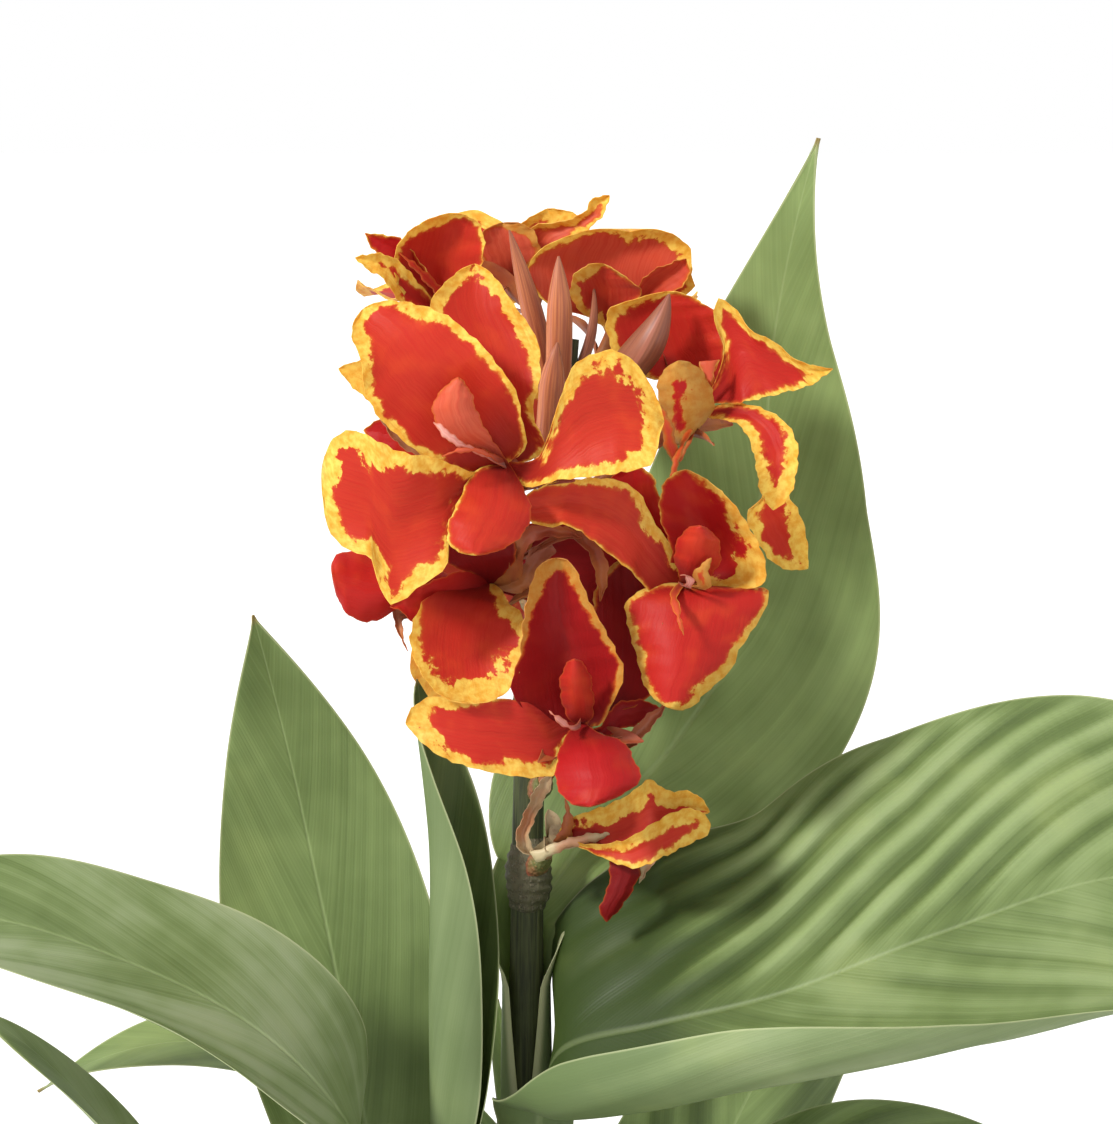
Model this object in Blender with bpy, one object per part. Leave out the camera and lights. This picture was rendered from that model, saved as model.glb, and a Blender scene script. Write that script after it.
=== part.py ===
"""A canna lily in flower, growing in a plain round pot.

Metres, +Z up. The origin is the centre of the pot's underside. The flowering side faces -Y.
The tables below are in millimetres, and every solid is scaled to metres as it is made.
"""

import math

import bmesh
import bpy
import numpy as np

MM = 0.001

# Driving dimensions of the pot and the soil, in millimetres
POT_HEIGHT = 190.0
POT_FOOT_RADIUS = 84.0
POT_RIM_RADIUS = 116.0
POT_BAND_HEIGHT = 34.0
POT_BAND_PROUD = 5.0
POT_WALL = 6.0
POT_FLOOR = 8.0
POT_SIDES = 28
DRAIN_HOLES = 3
DRAIN_RADIUS = 6.0
DRAIN_CIRCLE = 44.0
SOIL_TOP = 168.0
SOIL_MOUND = 5.0
FIT_GAP = 0.35

# Driving dimensions of the plant, in millimetres
STEM_FOOT = 132.0
LEAF_THICKNESS = 0.9
PETAL_THICKNESS = 0.9
SHEATH_WRAP = 148.0
SHEATH_GAP = 1.0
UNFOLD_LENGTH = 32.0
RIB_HALF_WIDTH = 1.7
RIB_HEIGHT = 1.5
PLEAT_HEIGHT = 0.5
EDGE_HALF_WIDTH = 0.7
LEAF_ROWS = 12
SHEATH_ROWS = 3
PETAL_STRIPS = 4
NARROW_PETAL = 9.0
PETAL_CURL_POWER = 0.8

# Each shoot: the line of its stem from the soil up, and the stem's radius at each of those points
SHOOTS = {
    "flowering_stem": (
        [(0, 0, STEM_FOOT), (-2, 0, 240), (-1, 0, 340), (-1, 0, 428),
         (1, 3, 500), (8, 6, 560), (13, 8, 600)],
        [8.6, 8.0, 7.0, 5.6, 4.6, 3.4, 1.8],
    ),
    "left_shoot": (
        [(-32, -15, STEM_FOOT), (-30, -15, 220), (-27, -15, 290), (-26, -15, 322)],
        [7.6, 7.0, 6.0, 5.2],
    ),
    "back_shoot": (
        [(16, 27, STEM_FOOT), (16, 29, 220), (15, 31, 290), (15, 32, 326)],
        [7.2, 6.6, 5.8, 4.6],
    ),
}

# Each leaf: its shoot, where its sheath starts and ends on that stem, the midrib beyond the sheath,
# the way the upper face looks at each of those points, and the half width. Then how steeply the width
# rises and falls, how many degrees each half curls up (left, then right, seen from above with the tip
# pointing away), how near the margin the curl sits, and for some how far round the stem the sheath
# wraps and how late towards the tip the curl fades
LEAVES = {
    "leaf_right_front": dict(
        shoot="flowering_stem", low=290, high=348,
        midrib=[(6, -15, 375), (14, -26, 388), (38, -40, 399), (74, -50, 411),
                (120, -57, 430), (172, -60, 447), (252, -54, 446)],
        faces=[(-0.75, 0.3, 0.3), (-0.7, -0.5, 0.4), (-0.4, -0.65, 0.6), (-0.15, -0.62, 0.74),
               (0, -0.66, 0.74), (0, -0.7, 0.7), (0.3, -0.6, 0.7)],
        half_width=80, shape=(0.75, 0.65), curls=(-10, 235), powers=(1.0, 2.6),
        gap=2.8, unfold=80, unroll=1.2,
    ),
    "leaf_right_rear": dict(
        shoot="flowering_stem", low=366, high=412,
        midrib=[(7, 14, 434), (20, 31, 449), (45, 44, 474), (65, 47, 508),
                (71, 40, 553), (75, 31, 604), (87, 20, 660)],
        faces=[(-0.5, -0.8, 0.1), (-0.4, -0.9, 0.1), (-0.3, -0.95, 0.0), (-0.2, -0.95, 0.0),
               (-0.3, -0.95, 0.0), (-0.4, -0.9, 0.1), (-0.6, -0.8, 0.2)],
        half_width=46, shape=(0.9, 1.3), curls=(16, 18), powers=(1.0, 1.4), wrap=136,
    ),
    "leaf_right_low": dict(
        shoot="flowering_stem", low=176, high=206,
        midrib=[(24, -8, 256), (54, -8, 318), (102, -6, 350), (156, -4, 338), (198, -4, 296)],
        faces=[(-0.8, 0.0, 0.6), (-0.6, -0.2, 0.8), (-0.1, -0.3, 0.95),
               (0.4, -0.3, 0.85), (0.8, -0.2, 0.5)],
        half_width=38, shape=(0.85, 1.1), curls=(30, 26), powers=(1.2, 1.2),
    ),
    "leaf_left_rear": dict(
        shoot="left_shoot", low=222, high=250,
        midrib=[(-43, 2, 292), (-49, 8, 352), (-59, 14, 405), (-66, 18, 438),
                (-73, 18, 471), (-84, 14, 516)],
        faces=[(0.6, -0.6, 0.2), (0.3, -0.9, 0.1), (0.2, -0.95, 0.1), (0.2, -0.95, 0.0),
               (0.25, -0.95, 0.0), (0.3, -0.9, 0.0)],
        half_width=34, shape=(1.5, 1.1), curls=(20, 30), powers=(1.0, 1.2),
    ),
    "leaf_left_front": dict(
        shoot="left_shoot", low=276, high=296,
        midrib=[(-38, -42, 336), (-54, -60, 376), (-80, -66, 404), (-118, -68, 424),
                (-160, -66, 436), (-240, -56, 432)],
        faces=[(0.7, 0.5, 0.5), (0.6, -0.3, 0.8), (0.35, -0.45, 0.9), (0.2, -0.45, 0.9),
               (0.0, -0.45, 0.9), (-0.2, -0.4, 0.9)],
        half_width=38, shape=(0.85, 1.1), curls=(36, 26), powers=(1.3, 1.3),
    ),
    "leaf_left_low": dict(
        shoot="left_shoot", low=176, high=194,
        midrib=[(-60, -36, 254), (-93, -56, 322), (-124, -64, 376), (-158, -68, 408)],
        faces=[(0.7, 0.3, 0.4), (0.6, 0.3, 0.7), (0.5, 0.2, 0.9), (0.4, 0.2, 0.9)],
        half_width=22, shape=(0.85, 1.1), curls=(40, 40), powers=(1.2, 1.2),
    ),
    "leaf_rolled": dict(
        shoot="left_shoot", low=306, high=324,
        midrib=[(-28, -9, 362), (-29, -12, 402), (-29, -13, 446), (-31, -16, 474), (-33.5, -18, 500)],
        faces=[(0.5, -0.8, 0.0), (0.7, -0.7, 0.0), (0.8, -0.6, 0.0), (0.8, -0.6, 0.0), (0.8, -0.6, 0.0)],
        half_width=26, shape=(0.5, 0.8), curls=(150, 128), powers=(0.6, 0.6),
    ),
    "leaf_back_right": dict(
        shoot="back_shoot", low=178, high=208,
        midrib=[(34, 52, 262), (60, 88, 334), (88, 130, 374), (112, 188, 370)],
        faces=[(-0.5, -0.5, 0.5), (-0.4, -0.5, 0.8), (-0.2, -0.2, 0.95), (0.2, 0.3, 0.9)],
        half_width=42, shape=(0.85, 1.1), curls=(22, 22), powers=(1.2, 1.2),
    ),
    "leaf_back_left": dict(
        shoot="back_shoot", low=240, high=268,
        midrib=[(-4, 44, 308), (-36, 46, 348), (-74, 36, 374), (-112, 30, 382), (-152, 34, 366)],
        faces=[(0.6, -0.5, 0.4), (0.5, -0.4, 0.7), (0.2, -0.3, 0.95), (0, -0.3, 0.95), (-0.3, -0.2, 0.9)],
        half_width=32, shape=(0.85, 1.1), curls=(24, 24), powers=(1.2, 1.2),
    ),
    "leaf_back_small": dict(
        shoot="back_shoot", low=300, high=324,
        midrib=[(2, 32, 350), (-7, 27, 376), (-10, 22, 397)],
        faces=[(0.3, -0.9, 0.1), (0.2, -0.9, 0.0), (0.2, -0.9, 0.1)],
        half_width=8, shape=(0.85, 1.1), curls=(50, 50), powers=(1.0, 1.0),
    ),
}

# The outlines of petals: a share of the length, and the share of the half width there
ROUND = [(0, 0.16), (0.24, 0.62), (0.54, 0.97), (0.82, 0.9), (1, 0.4)]
NARROW = [(0, 0.3), (0.5, 1.0), (1, 0.2)]
POINTED = [(0, 0.18), (0.24, 0.74), (0.5, 1.0), (0.78, 0.62), (1, 0.14)]

# Each bloom: where its ovary leaves the stem, the throat, the length of its narrow outer petals, then
# its broad petals. A petal is the points beyond the throat, the way its inner face looks from the
# throat to the tip, its half width, how many degrees each half curls in, how far its edge waves,
# and its outline
BLOOMS = {
    "bloom_front": ((3, 4, 522), (-7, -48, 566), 30, [
        ([(-25, -62, 588), (-47, -55, 610)], [(0.5, -0.7, 0.6), (0.3, -0.9, 0.3), (-0.1, -0.9, 0.5)],
         19, (26, 30), 2.5, ROUND),
        ([(-6, -51, 594), (-17, -42, 622)], [(0, -0.7, 0.6), (0.1, -1, 0.1), (0, -0.9, 0.4)],
         18, (20, 26), 2.0, ROUND),
        ([(19, -62, 577), (37, -58, 587)], [(-0.5, -0.7, 0.5), (-0.3, -0.9, 0.3), (0.1, -0.95, 0.3)],
         18, (40, 22), 2.5, ROUND),
        ([(-33, -68, 556), (-58, -58, 555)], [(0.5, -0.7, -0.5), (0.2, -0.95, 0.1), (-0.4, -0.9, 0.2)],
         20, (22, 30), 3.0, ROUND),
        ([(-9, -69, 556), (-14, -74, 541)], [(0, -0.3, 0.9), (0, -0.8, 0.6), (0, -0.9, 0.3)],
         13, (30, 30), 1.0, ROUND),
        ([(-17, -64, 578), (-25, -67, 590)], [(0.3, -0.8, 0.5), (0.3, -0.9, 0.2), (0.3, -0.9, 0.3)],
         5.5, (50, 50), 0.5, ROUND),
    ]),
    "bloom_low_front": ((1, 2, 462), (15, -44, 490), 26, [
        ([(11, -47, 514), (9, -57, 539)], [(0, -0.6, 0.8), (0, -1, 0.0), (0, -1, -0.5)],
         15, (56, 56), 1.5, ROUND),
        ([(-11, -62, 489), (-36, -58, 492)], [(0.5, -0.7, 0.3), (0.1, -0.9, 0.35), (-0.3, -0.9, 0.35)],
         12.5, (26, 26), 2.5, ROUND),
        ([(19, -61, 482), (21, -69, 468)], [(0, -0.4, 0.9), (0, -0.8, 0.6), (0, -0.9, 0.4)],
         13, (30, 30), 1.0, ROUND),
        ([(13, -58, 500), (13, -67, 510)], [(0, -0.8, -0.6), (0, -0.8, -0.6), (0, -0.8, -0.6)],
         8, (-60, -60), 0.0, ROUND),
        ([(25, -54, 492), (34, -60, 497)], [(-0.5, -0.8, 0.3), (0, -1, 0.2), (0, -1, 0.2)],
         6, (30, 30), 1.0, POINTED),
    ]),
    "bloom_right": ((3, 4, 496), (45, -34, 530), 28, [
        ([(52, -38, 548), (51, -47, 566)], [(-0.2, -0.9, -0.2), (0, -0.95, -0.1), (0, -0.95, -0.3)],
         17, (50, 50), 1.5, ROUND),
        ([(48, -50, 514), (44, -55, 495)], [(0, -0.6, 0.8), (0, -0.9, 0.4), (0, -0.9, 0.3)],
         21, (30, 30), 2.5, ROUND),
        ([(24, -42, 545), (2, -48, 558)], [(0.5, -0.8, 0.2), (0.2, -0.95, -0.2), (0, -0.95, -0.3)],
         13, (24, 30), 2.0, ROUND),
        ([(47, -50, 538), (49, -60, 546)], [(0, -0.8, -0.6), (0, -0.8, -0.6), (0, -0.8, -0.6)],
         6.5, (-60, -60), 0.0, ROUND),
    ]),
    "bloom_upper_right": ((8, 6, 548), (51, -6, 580), 28, [
        ([(46, -8, 597), (42, -12, 610)], [(0, -0.9, 0), (0, -0.95, -0.1), (-0.1, -0.9, -0.2)],
         16, (30, 30), 2.0, ROUND),
        ([(67, -16, 592), (89, -12, 592)], [(-0.4, -0.8, 0.4), (0, -0.9, 0.3), (0.2, -0.9, 0.3)],
         15, (26, 26), 2.0, POINTED),
        ([(65, -14, 581), (76, -22, 568), (71, -27, 551)],
         [(-0.5, -0.7, 0.4), (0.2, -0.8, 0.5), (0.5, -0.8, 0.1)], 6.5, (40, 40), 1.0, ROUND),
        ([(46, -22, 586), (44, -32, 595)], [(0, -0.8, -0.6), (0, -0.8, -0.6), (0, -0.8, -0.6)],
         9, (-55, -55), 0.5, ROUND),
        ([(60, -6, 561), (71, -10, 545), (81, -15, 533)],
         [(-0.3, -0.8, -0.3), (-0.2, -0.95, 0), (-0.2, -0.95, 0)], 8, (30, 30), 1.5, ROUND),
    ]),
    "bloom_upper_back": ((10, 7, 576), (27, 28, 602), 26, [
        ([(26, 22, 617), (24, 13, 632)], [(0, -0.85, -0.5), (0, -0.85, -0.5), (0, -0.85, -0.4)],
         24, (34, 34), 1.5, ROUND),
        ([(33, 14, 612), (31, 4, 624)], [(0, -0.7, -0.65), (0, -0.75, -0.65), (0, -0.8, -0.55)],
         12, (34, 34), 1.0, ROUND),
        ([(36, 46, 606), (44, 62, 604)], [(-0.3, -0.1, 0.9), (-0.1, 0.2, 0.9), (0.1, 0.3, 0.9)],
         15, (26, 26), 2.0, ROUND),
        ([(20, 46, 608), (12, 60, 610)], [(0.3, -0.1, 0.9), (0.1, 0.2, 0.9), (0, 0.3, 0.9)],
         14, (26, 26), 2.0, ROUND),
    ]),
    "bloom_top": ((11, 8, 586), (-3, 38, 616), 26, [
        ([(9, 32, 630), (24, 28, 641)], [(-0.3, -0.95, -0.1), (-0.3, -0.95, -0.1), (-0.2, -0.95, 0.1)],
         6.5, (26, 26), 1.0, ROUND),
        ([(1, 36, 630), (6, 34, 638)], [(0, -1, -0.1), (0, -1, -0.1), (0, -1, 0)],
         9, (26, 26), 1.5, ROUND),
        ([(-16, 44, 628), (-26, 46, 630)], [(0.3, -0.5, 0.8), (0.2, -0.6, 0.8), (0, -0.6, 0.8)],
         11, (26, 26), 1.5, ROUND),
        ([(-6, 58, 616), (-8, 72, 610)], [(0, -0.2, 0.9), (0, 0.2, 0.9), (0, 0.5, 0.8)],
         15, (26, 26), 2.0, ROUND),
    ]),
    "bloom_upper_left": ((8, 6, 560), (-23, 16, 606), 30, [
        ([(-25, 6, 623), (-27, -4, 637)], [(0, -0.85, -0.5), (0, -0.85, -0.5), (0, -0.85, -0.4)],
         13.5, (40, 40), 1.5, ROUND),
        ([(-39, 6, 619), (-50, -2, 626)], [(0.4, -0.6, 0.6), (0.3, -0.9, 0.4), (0.1, -0.9, 0.4)],
         9, (30, 30), 2.0, ROUND),
        ([(-42, 4, 597), (-55, -2, 590)], [(0.4, -0.8, 0.2), (0.2, -0.95, 0.1), (0, -0.95, 0.2)],
         12, (26, 26), 2.0, ROUND),
        ([(-38, 30, 612), (-50, 40, 612)], [(0.3, -0.3, 0.9), (0.1, -0.2, 0.9), (0, 0, 0.95)],
         14, (26, 26), 2.0, ROUND),
    ]),
    "bloom_left_low": ((0, 2, 482), (-12, -24, 529), 26, [
        ([(-38, -36, 540), (-54, -40, 523)], [(0.2, 0.6, -0.7), (0.2, 0.9, -0.3), (0, 0.9, 0.2)],
         12, (40, 40), 1.0, ROUND),
        ([(-18, -43, 512), (-21, -52, 497)], [(0.1, -0.6, 0.8), (0.1, -0.9, 0.4), (0, -0.9, 0.3)],
         17, (30, 30), 2.0, ROUND),
        ([(-2, -36, 536), (8, -42, 530)], [(-0.4, -0.7, -0.3), (-0.2, -0.95, 0), (0, -0.95, 0)],
         10, (30, 30), 1.0, ROUND),
        ([(-18, -32, 545), (-24, -40, 553)], [(0.3, -0.7, 0.5), (0.2, -0.9, 0.2), (0, -0.95, 0)],
         12, (30, 30), 1.0, ROUND),
    ]),
    "bloom_spent": ((-1, 0, 438), (9, -16, 453), 12, [
        ([(28, -28, 462), (54, -32, 461)], [(-0.2, -0.7, 0.7), (0, -0.8, 0.6), (0.1, -0.8, 0.6)],
         8.5, (36, 36), 2.0, ROUND),
        ([(32, -24, 450), (52, -27, 452)], [(0, -0.8, 0.4), (0, -0.9, 0.2), (0.1, -0.8, 0.5)],
         7, (-30, 36), 2.0, ROUND),
        ([(30, -20, 443), (25, -22, 428)], [(-0.4, -0.8, 0), (-0.6, -0.7, 0), (-0.6, -0.7, 0)],
         4, (40, 40), 0.0, POINTED),
    ]),
}

# Each bloom that faces away from the photo's side: its root, its throat and how far its petals reach
BACK_BLOOMS = {
    "bloom_back": ((3, 6, 516), (-16, 44, 550), 42.0),
    "bloom_back_low": ((1, 4, 484), (-9, 42, 506), 34.0),
}

# How such a bloom's petals spread round its axis: degrees from upright, share of the reach, half width
SPREAD = [(42, 1.0, 14), (-56, 0.95, 14), (152, 0.95, 15), (-146, 0.6, 10)]

# Each ovary stands this far out from the stem's line, and its bloom's tube begins past it
OVARY_LENGTH = 13.0
OVARY_RADII = (2.0, 3.6, 2.4)
TUBE_RADII = (2.0, 2.3, 3.8)
OUTER_PETALS = 3

# The knuckle where the lowest bracts sat, and each bud: its line from the stem to its tip, and its radius
KNUCKLE = [(-1, 0, 426), (-0.5, 0, 438), (0, 0.5, 452)]
BUDS = [
    ([(8, 6, 570), (2, 0, 600), (-6.4, -8, 631.5)], 3.2),
    ([(7, 5, 556), (7, -7, 590), (9, -14, 623.5)], 4.0),
    ([(12, 8, 586), (18, 10, 598), (20.5, 10, 614.5)], 2.0),
    ([(11, 7, 574), (29, -1, 590), (40, -4, 611)], 4.4),
    ([(4, 4, 552), (4.5, -6, 571), (4.6, -15, 592)], 2.6),
]


def unit(vectors):
    """The vectors, each at length one."""
    return vectors / np.maximum(np.linalg.norm(vectors, axis=-1, keepdims=True), 1e-9)


def chord_knots(points):
    """How far along each point lies, as a share of the chords' whole length."""
    steps = np.linalg.norm(np.diff(np.asarray(points, float), axis=0), axis=1)
    knots = np.concatenate([[0.0], np.cumsum(steps)])
    return knots / knots[-1]


def follow(knots, values, at):
    """A smooth curve through the values, read at the given shares of its length."""
    values = np.asarray(values, float)
    if len(values) == 2:
        return values[0] + np.outer(at, values[1] - values[0])
    slopes = np.empty_like(values)
    slopes[1:-1] = (values[2:] - values[:-2]) / (knots[2:] - knots[:-2])[:, None]
    slopes[0] = 2 * (values[1] - values[0]) / (knots[1] - knots[0]) - slopes[1]
    slopes[-1] = 2 * (values[-1] - values[-2]) / (knots[-1] - knots[-2]) - slopes[-2]
    i = np.clip(np.searchsorted(knots, at, side="right") - 1, 0, len(knots) - 2)
    span = (knots[i + 1] - knots[i])[:, None]
    u = (at - knots[i])[:, None] / span
    return (
        (2 * u**3 - 3 * u**2 + 1) * values[i]
        + (u**3 - 2 * u**2 + u) * span * slopes[i]
        + (3 * u**2 - 2 * u**3) * values[i + 1]
        + (u**3 - u**2) * span * slopes[i + 1]
    )


def ease(x):
    """A smooth step from 0 to 1."""
    x = np.clip(x, 0.0, 1.0)
    return x * x * (3 - 2 * x)


def humped(u, rise, fall):
    """A blade's width along its length: zero at both ends, one at its widest."""
    top = rise / (rise + fall)
    return (u / top) ** rise * ((1 - u) / (1 - top)) ** fall


def across(v, curl, power):
    """Where a strip of length one, lying along the side, comes to as it curls: along the side, and up."""
    x = np.linspace(0, 1, 33)
    turn = curl[:, None] * x ** power[:, None]
    found = []
    for slope in (np.cos(turn), np.sin(turn)):
        summed = np.zeros_like(turn)
        summed[:, 1:] = np.cumsum((slope[:, 1:] + slope[:, :-1]) / 2 * x[1], 1)
        found.append(np.array([np.interp(v[i], x, summed[i]) for i in range(len(v))]))
    return found


def blade_surface(spine, looks, v, half_width, curls, powers, wave):
    """The middle surface of a blade as a grid of points, with the way its upper face looks."""
    tangent = unit(np.gradient(spine, axis=0))
    upper = unit(looks - (looks * tangent).sum(1, keepdims=True) * tangent)
    side = np.cross(tangent, upper)
    grid = np.zeros((*v.shape, 3))
    for sign, curl, power in ((-1, curls[0], powers[0]), (1, curls[1], powers[1])):
        run, lift = across(np.abs(v), curl, power)
        there = (
            spine[:, None]
            + sign * side[:, None] * (run * half_width[:, None])[..., None]
            + upper[:, None] * (lift * half_width[:, None] + wave)[..., None]
        )
        held = v * sign >= 0
        grid[held] = there[held]
    return grid, unit(np.cross(np.gradient(grid, axis=1), np.gradient(grid, axis=0)))


def blade_solid(grid, normal, above, below):
    """A closed blade round that surface, split into triangles alike on both faces."""
    rows, columns = grid.shape[:2]
    top = grid + normal * above[..., None]
    under = grid - normal * below[..., None]
    shift = rows * columns
    faces = []
    for i in range(rows - 1):
        for j in range(columns - 1):
            a = i * columns + j
            c = a + columns
            left = j < (columns - 1) / 2
            pair = [(a, c, a + 1), (a + 1, c, c + 1)] if left else [(a, c, c + 1), (a, c + 1, a + 1)]
            for p, q, r in pair:
                faces.append((p, r, q))
                faces.append((p + shift, q + shift, r + shift))
    ring = list(range(columns))
    ring += [i * columns + columns - 1 for i in range(1, rows)]
    ring += [(rows - 1) * columns + j for j in range(columns - 2, -1, -1)]
    ring += [i * columns for i in range(rows - 2, 0, -1)]
    for p, q in zip(ring, ring[1:] + ring[:1]):
        faces.append((q, p, p + shift))
        faces.append((q, p + shift, q + shift))
    return np.concatenate([top.reshape(-1, 3), under.reshape(-1, 3)]), faces


def limb(points, radii, rings, sides):
    """A closed round limb along a smooth line, its radius read from those given at the points."""
    knots = chord_knots(points)
    s = np.linspace(0, 1, rings)
    line = follow(knots, points, s)
    radius = follow(knots, np.asarray(radii, float)[:, None], s)[:, 0]
    tangent = unit(np.gradient(line, s, axis=0))
    start = np.array([1.0, 0.0, 0.0]) if abs(tangent[0][0]) < 0.8 else np.array([0.0, 1.0, 0.0])
    vertices = []
    for p, t, r in zip(line, tangent, radius):
        start = unit(start - (start @ t) * t)
        other = np.cross(t, start)
        for k in range(sides):
            turn = 2 * math.pi * k / sides
            vertices.append(p + r * (math.cos(turn) * start + math.sin(turn) * other))
    faces = [tuple(range(sides - 1, -1, -1))]
    for i in range(rings - 1):
        for k in range(sides):
            a, b = i * sides + k, i * sides + (k + 1) % sides
            faces.append((a, b, b + sides, a + sides))
    faces.append(tuple((rings - 1) * sides + k for k in range(sides)))
    return np.array(vertices), faces


def material(name, colour, roughness):
    made = bpy.data.materials.new(name)
    made.use_nodes = True
    shader = made.node_tree.nodes["Principled BSDF"]
    shader.inputs["Base Color"].default_value = (*colour, 1.0)
    shader.inputs["Roughness"].default_value = roughness
    return made


def add(name, shape, finish=None, group=None):
    """An object from vertices in millimetres and faces."""
    vertices, faces = shape
    mesh = bpy.data.meshes.new(name)
    mesh.from_pydata((np.asarray(vertices) * MM).tolist(), [], faces)
    made = bpy.data.objects.new(name, mesh)
    (group or bpy.context.scene.collection).objects.link(made)
    if finish:
        dress(made, finish)
    return made


def dress(made, finish):
    made.data.materials.clear()
    made.data.materials.append(finish)
    made.data.shade_smooth()
    made.data.set_sharp_from_angle(angle=math.radians(50))


def combine(host, group, operation):
    """The host with the group's solids joined on or cut away. The group's objects are then removed."""
    step = host.modifiers.new(group.name, "BOOLEAN")
    step.operation = operation
    step.operand_type = "COLLECTION"
    step.collection = group
    step.solver = "EXACT"
    step.use_self = True
    graph = bpy.context.evaluated_depsgraph_get()
    mesh = bpy.data.meshes.new_from_object(host.evaluated_get(graph))
    host.modifiers.clear()
    host.data = mesh
    for old in list(group.objects):
        bpy.data.objects.remove(old)
    bpy.data.collections.remove(group)


def fill_pockets(host):
    """Keeps the outer skin alone, without the walls of any closed pocket left between joined petals."""
    shape = bmesh.new()
    shape.from_mesh(host.data)
    shape.verts.ensure_lookup_table()
    skins, left = [], set(shape.verts)
    while left:
        skin, edge = set(), [left.pop()]
        while edge:
            vertex = edge.pop()
            skin.add(vertex)
            near = {link.other_vert(vertex) for link in vertex.link_edges} & left
            left -= near
            edge.extend(near)
        skins.append(skin)
    outer = max(skins, key=len)
    bmesh.ops.delete(shape, geom=[v for v in shape.verts if v not in outer], context="VERTS")
    shape.to_mesh(host.data)
    shape.free()


def new_group(name):
    group = bpy.data.collections.new(name)
    bpy.context.scene.collection.children.link(group)
    return group


def stem_axis(shoot, height):
    """The stem's centre and radius at that height."""
    points, radii = SHOOTS[shoot]
    knots = chord_knots(points)
    s = np.linspace(0, 1, 200)
    line = follow(knots, points, s)
    radius = follow(knots, np.asarray(radii, float)[:, None], s)[:, 0]
    centre = np.array([np.interp(height, line[:, 2], line[:, k]) for k in range(3)])
    return centre, float(np.interp(height, line[:, 2], radius))


def leaf(name, finish, shoot, low, high, midrib, faces, half_width, shape, curls, powers,
         wrap=SHEATH_WRAP, gap=SHEATH_GAP, unfold=UNFOLD_LENGTH, unroll=4.0):
    """A leaf whose foot is a sheath round the stem, narrowing to a channelled stalk, then the blade."""
    centre_low, radius_low = stem_axis(shoot, low)
    centre_high, radius_high = stem_axis(shoot, high)
    out = np.array(midrib[0], float) - centre_high
    out[2] = 0
    out = unit(out)
    clear = gap + LEAF_THICKNESS / 2
    clasp = [centre_low + out * (radius_low + clear), centre_high + out * (radius_high + clear)]
    clasp.append(clasp[1] + 0.4 * out + unit(centre_high - centre_low) * UNFOLD_LENGTH * 0.4)
    points = np.array([*clasp, *midrib], float)
    looks = np.array([-out, -out, -out, *faces], float)
    end = chord_knots(points)[1]
    length = np.linalg.norm(np.diff(points, axis=0), axis=1).sum()
    s = np.concatenate([np.linspace(0, end, SHEATH_ROWS, endpoint=False), np.linspace(end, 1, LEAF_ROWS)])
    u = np.clip((s - end) / (1 - end), 0, 1)
    opening = ease((s - end) * length / unfold + 0.25)
    wrap = math.radians(wrap)
    radius = radius_low + (radius_high - radius_low) * np.clip(s / end, 0, 1) + clear
    narrowing = ease((s - end) * length / UNFOLD_LENGTH / 1.8)
    wide = wrap * radius * (1 - narrowing) + half_width * humped(u, *shape) * narrowing
    wide = np.maximum(wide, EDGE_HALF_WIDTH)
    curl = [wrap * (1 - opening) + math.radians(c) * opening * (1 - u**unroll) for c in curls]
    power = [1 + (p - 1) * opening for p in powers]
    rib = 0.2 * (1 - opening) + np.minimum(RIB_HALF_WIDTH * (1.3 - u) / wide, 0.2) * opening
    v = np.array([[-1, -0.73, -0.46, -r, 0, r, 0.46, 0.73, 1] for r in rib])
    ripple = np.where(np.arange(len(s)) % 2 == 0, PLEAT_HEIGHT, -PLEAT_HEIGHT) * opening * (1 - u)
    wave = ripple[:, None] * (np.abs(v) > 0.3)
    knots = chord_knots(points)
    spine = follow(knots, points, s)
    spine[:SHEATH_ROWS] = points[0] + np.outer(s[:SHEATH_ROWS] / end, points[1] - points[0])
    grid, normal = blade_surface(spine, follow(knots, looks, s), v, wide, curl, power, wave)
    above = np.full(v.shape, LEAF_THICKNESS / 2)
    below = above + RIB_HEIGHT * (v == 0) * (opening * (1.05 - u))[:, None]
    return add(name, blade_solid(grid, normal, above, below), finish)


def petal(points, looks, half_width, curls, ruffle, outline, phase):
    shares, widths = np.array(outline).T
    spine = follow(chord_knots(points), points, shares)
    looks = follow(np.linspace(0, 1, len(looks)), looks, shares)
    strips = PETAL_STRIPS if half_width > NARROW_PETAL else 2
    v = np.tile(np.linspace(-1, 1, strips + 1), (len(shares), 1))
    curl = [np.full(len(shares), math.radians(c)) for c in curls]
    power = [np.full(len(shares), PETAL_CURL_POWER)] * 2
    wave = ruffle * v**2 * (shares * np.sin(9 * shares + phase))[:, None]
    grid, normal = blade_surface(spine, looks, v, half_width * widths, curl, power, wave)
    half = np.full(v.shape, PETAL_THICKNESS / 2)
    return blade_solid(grid, normal, half, half)


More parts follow.
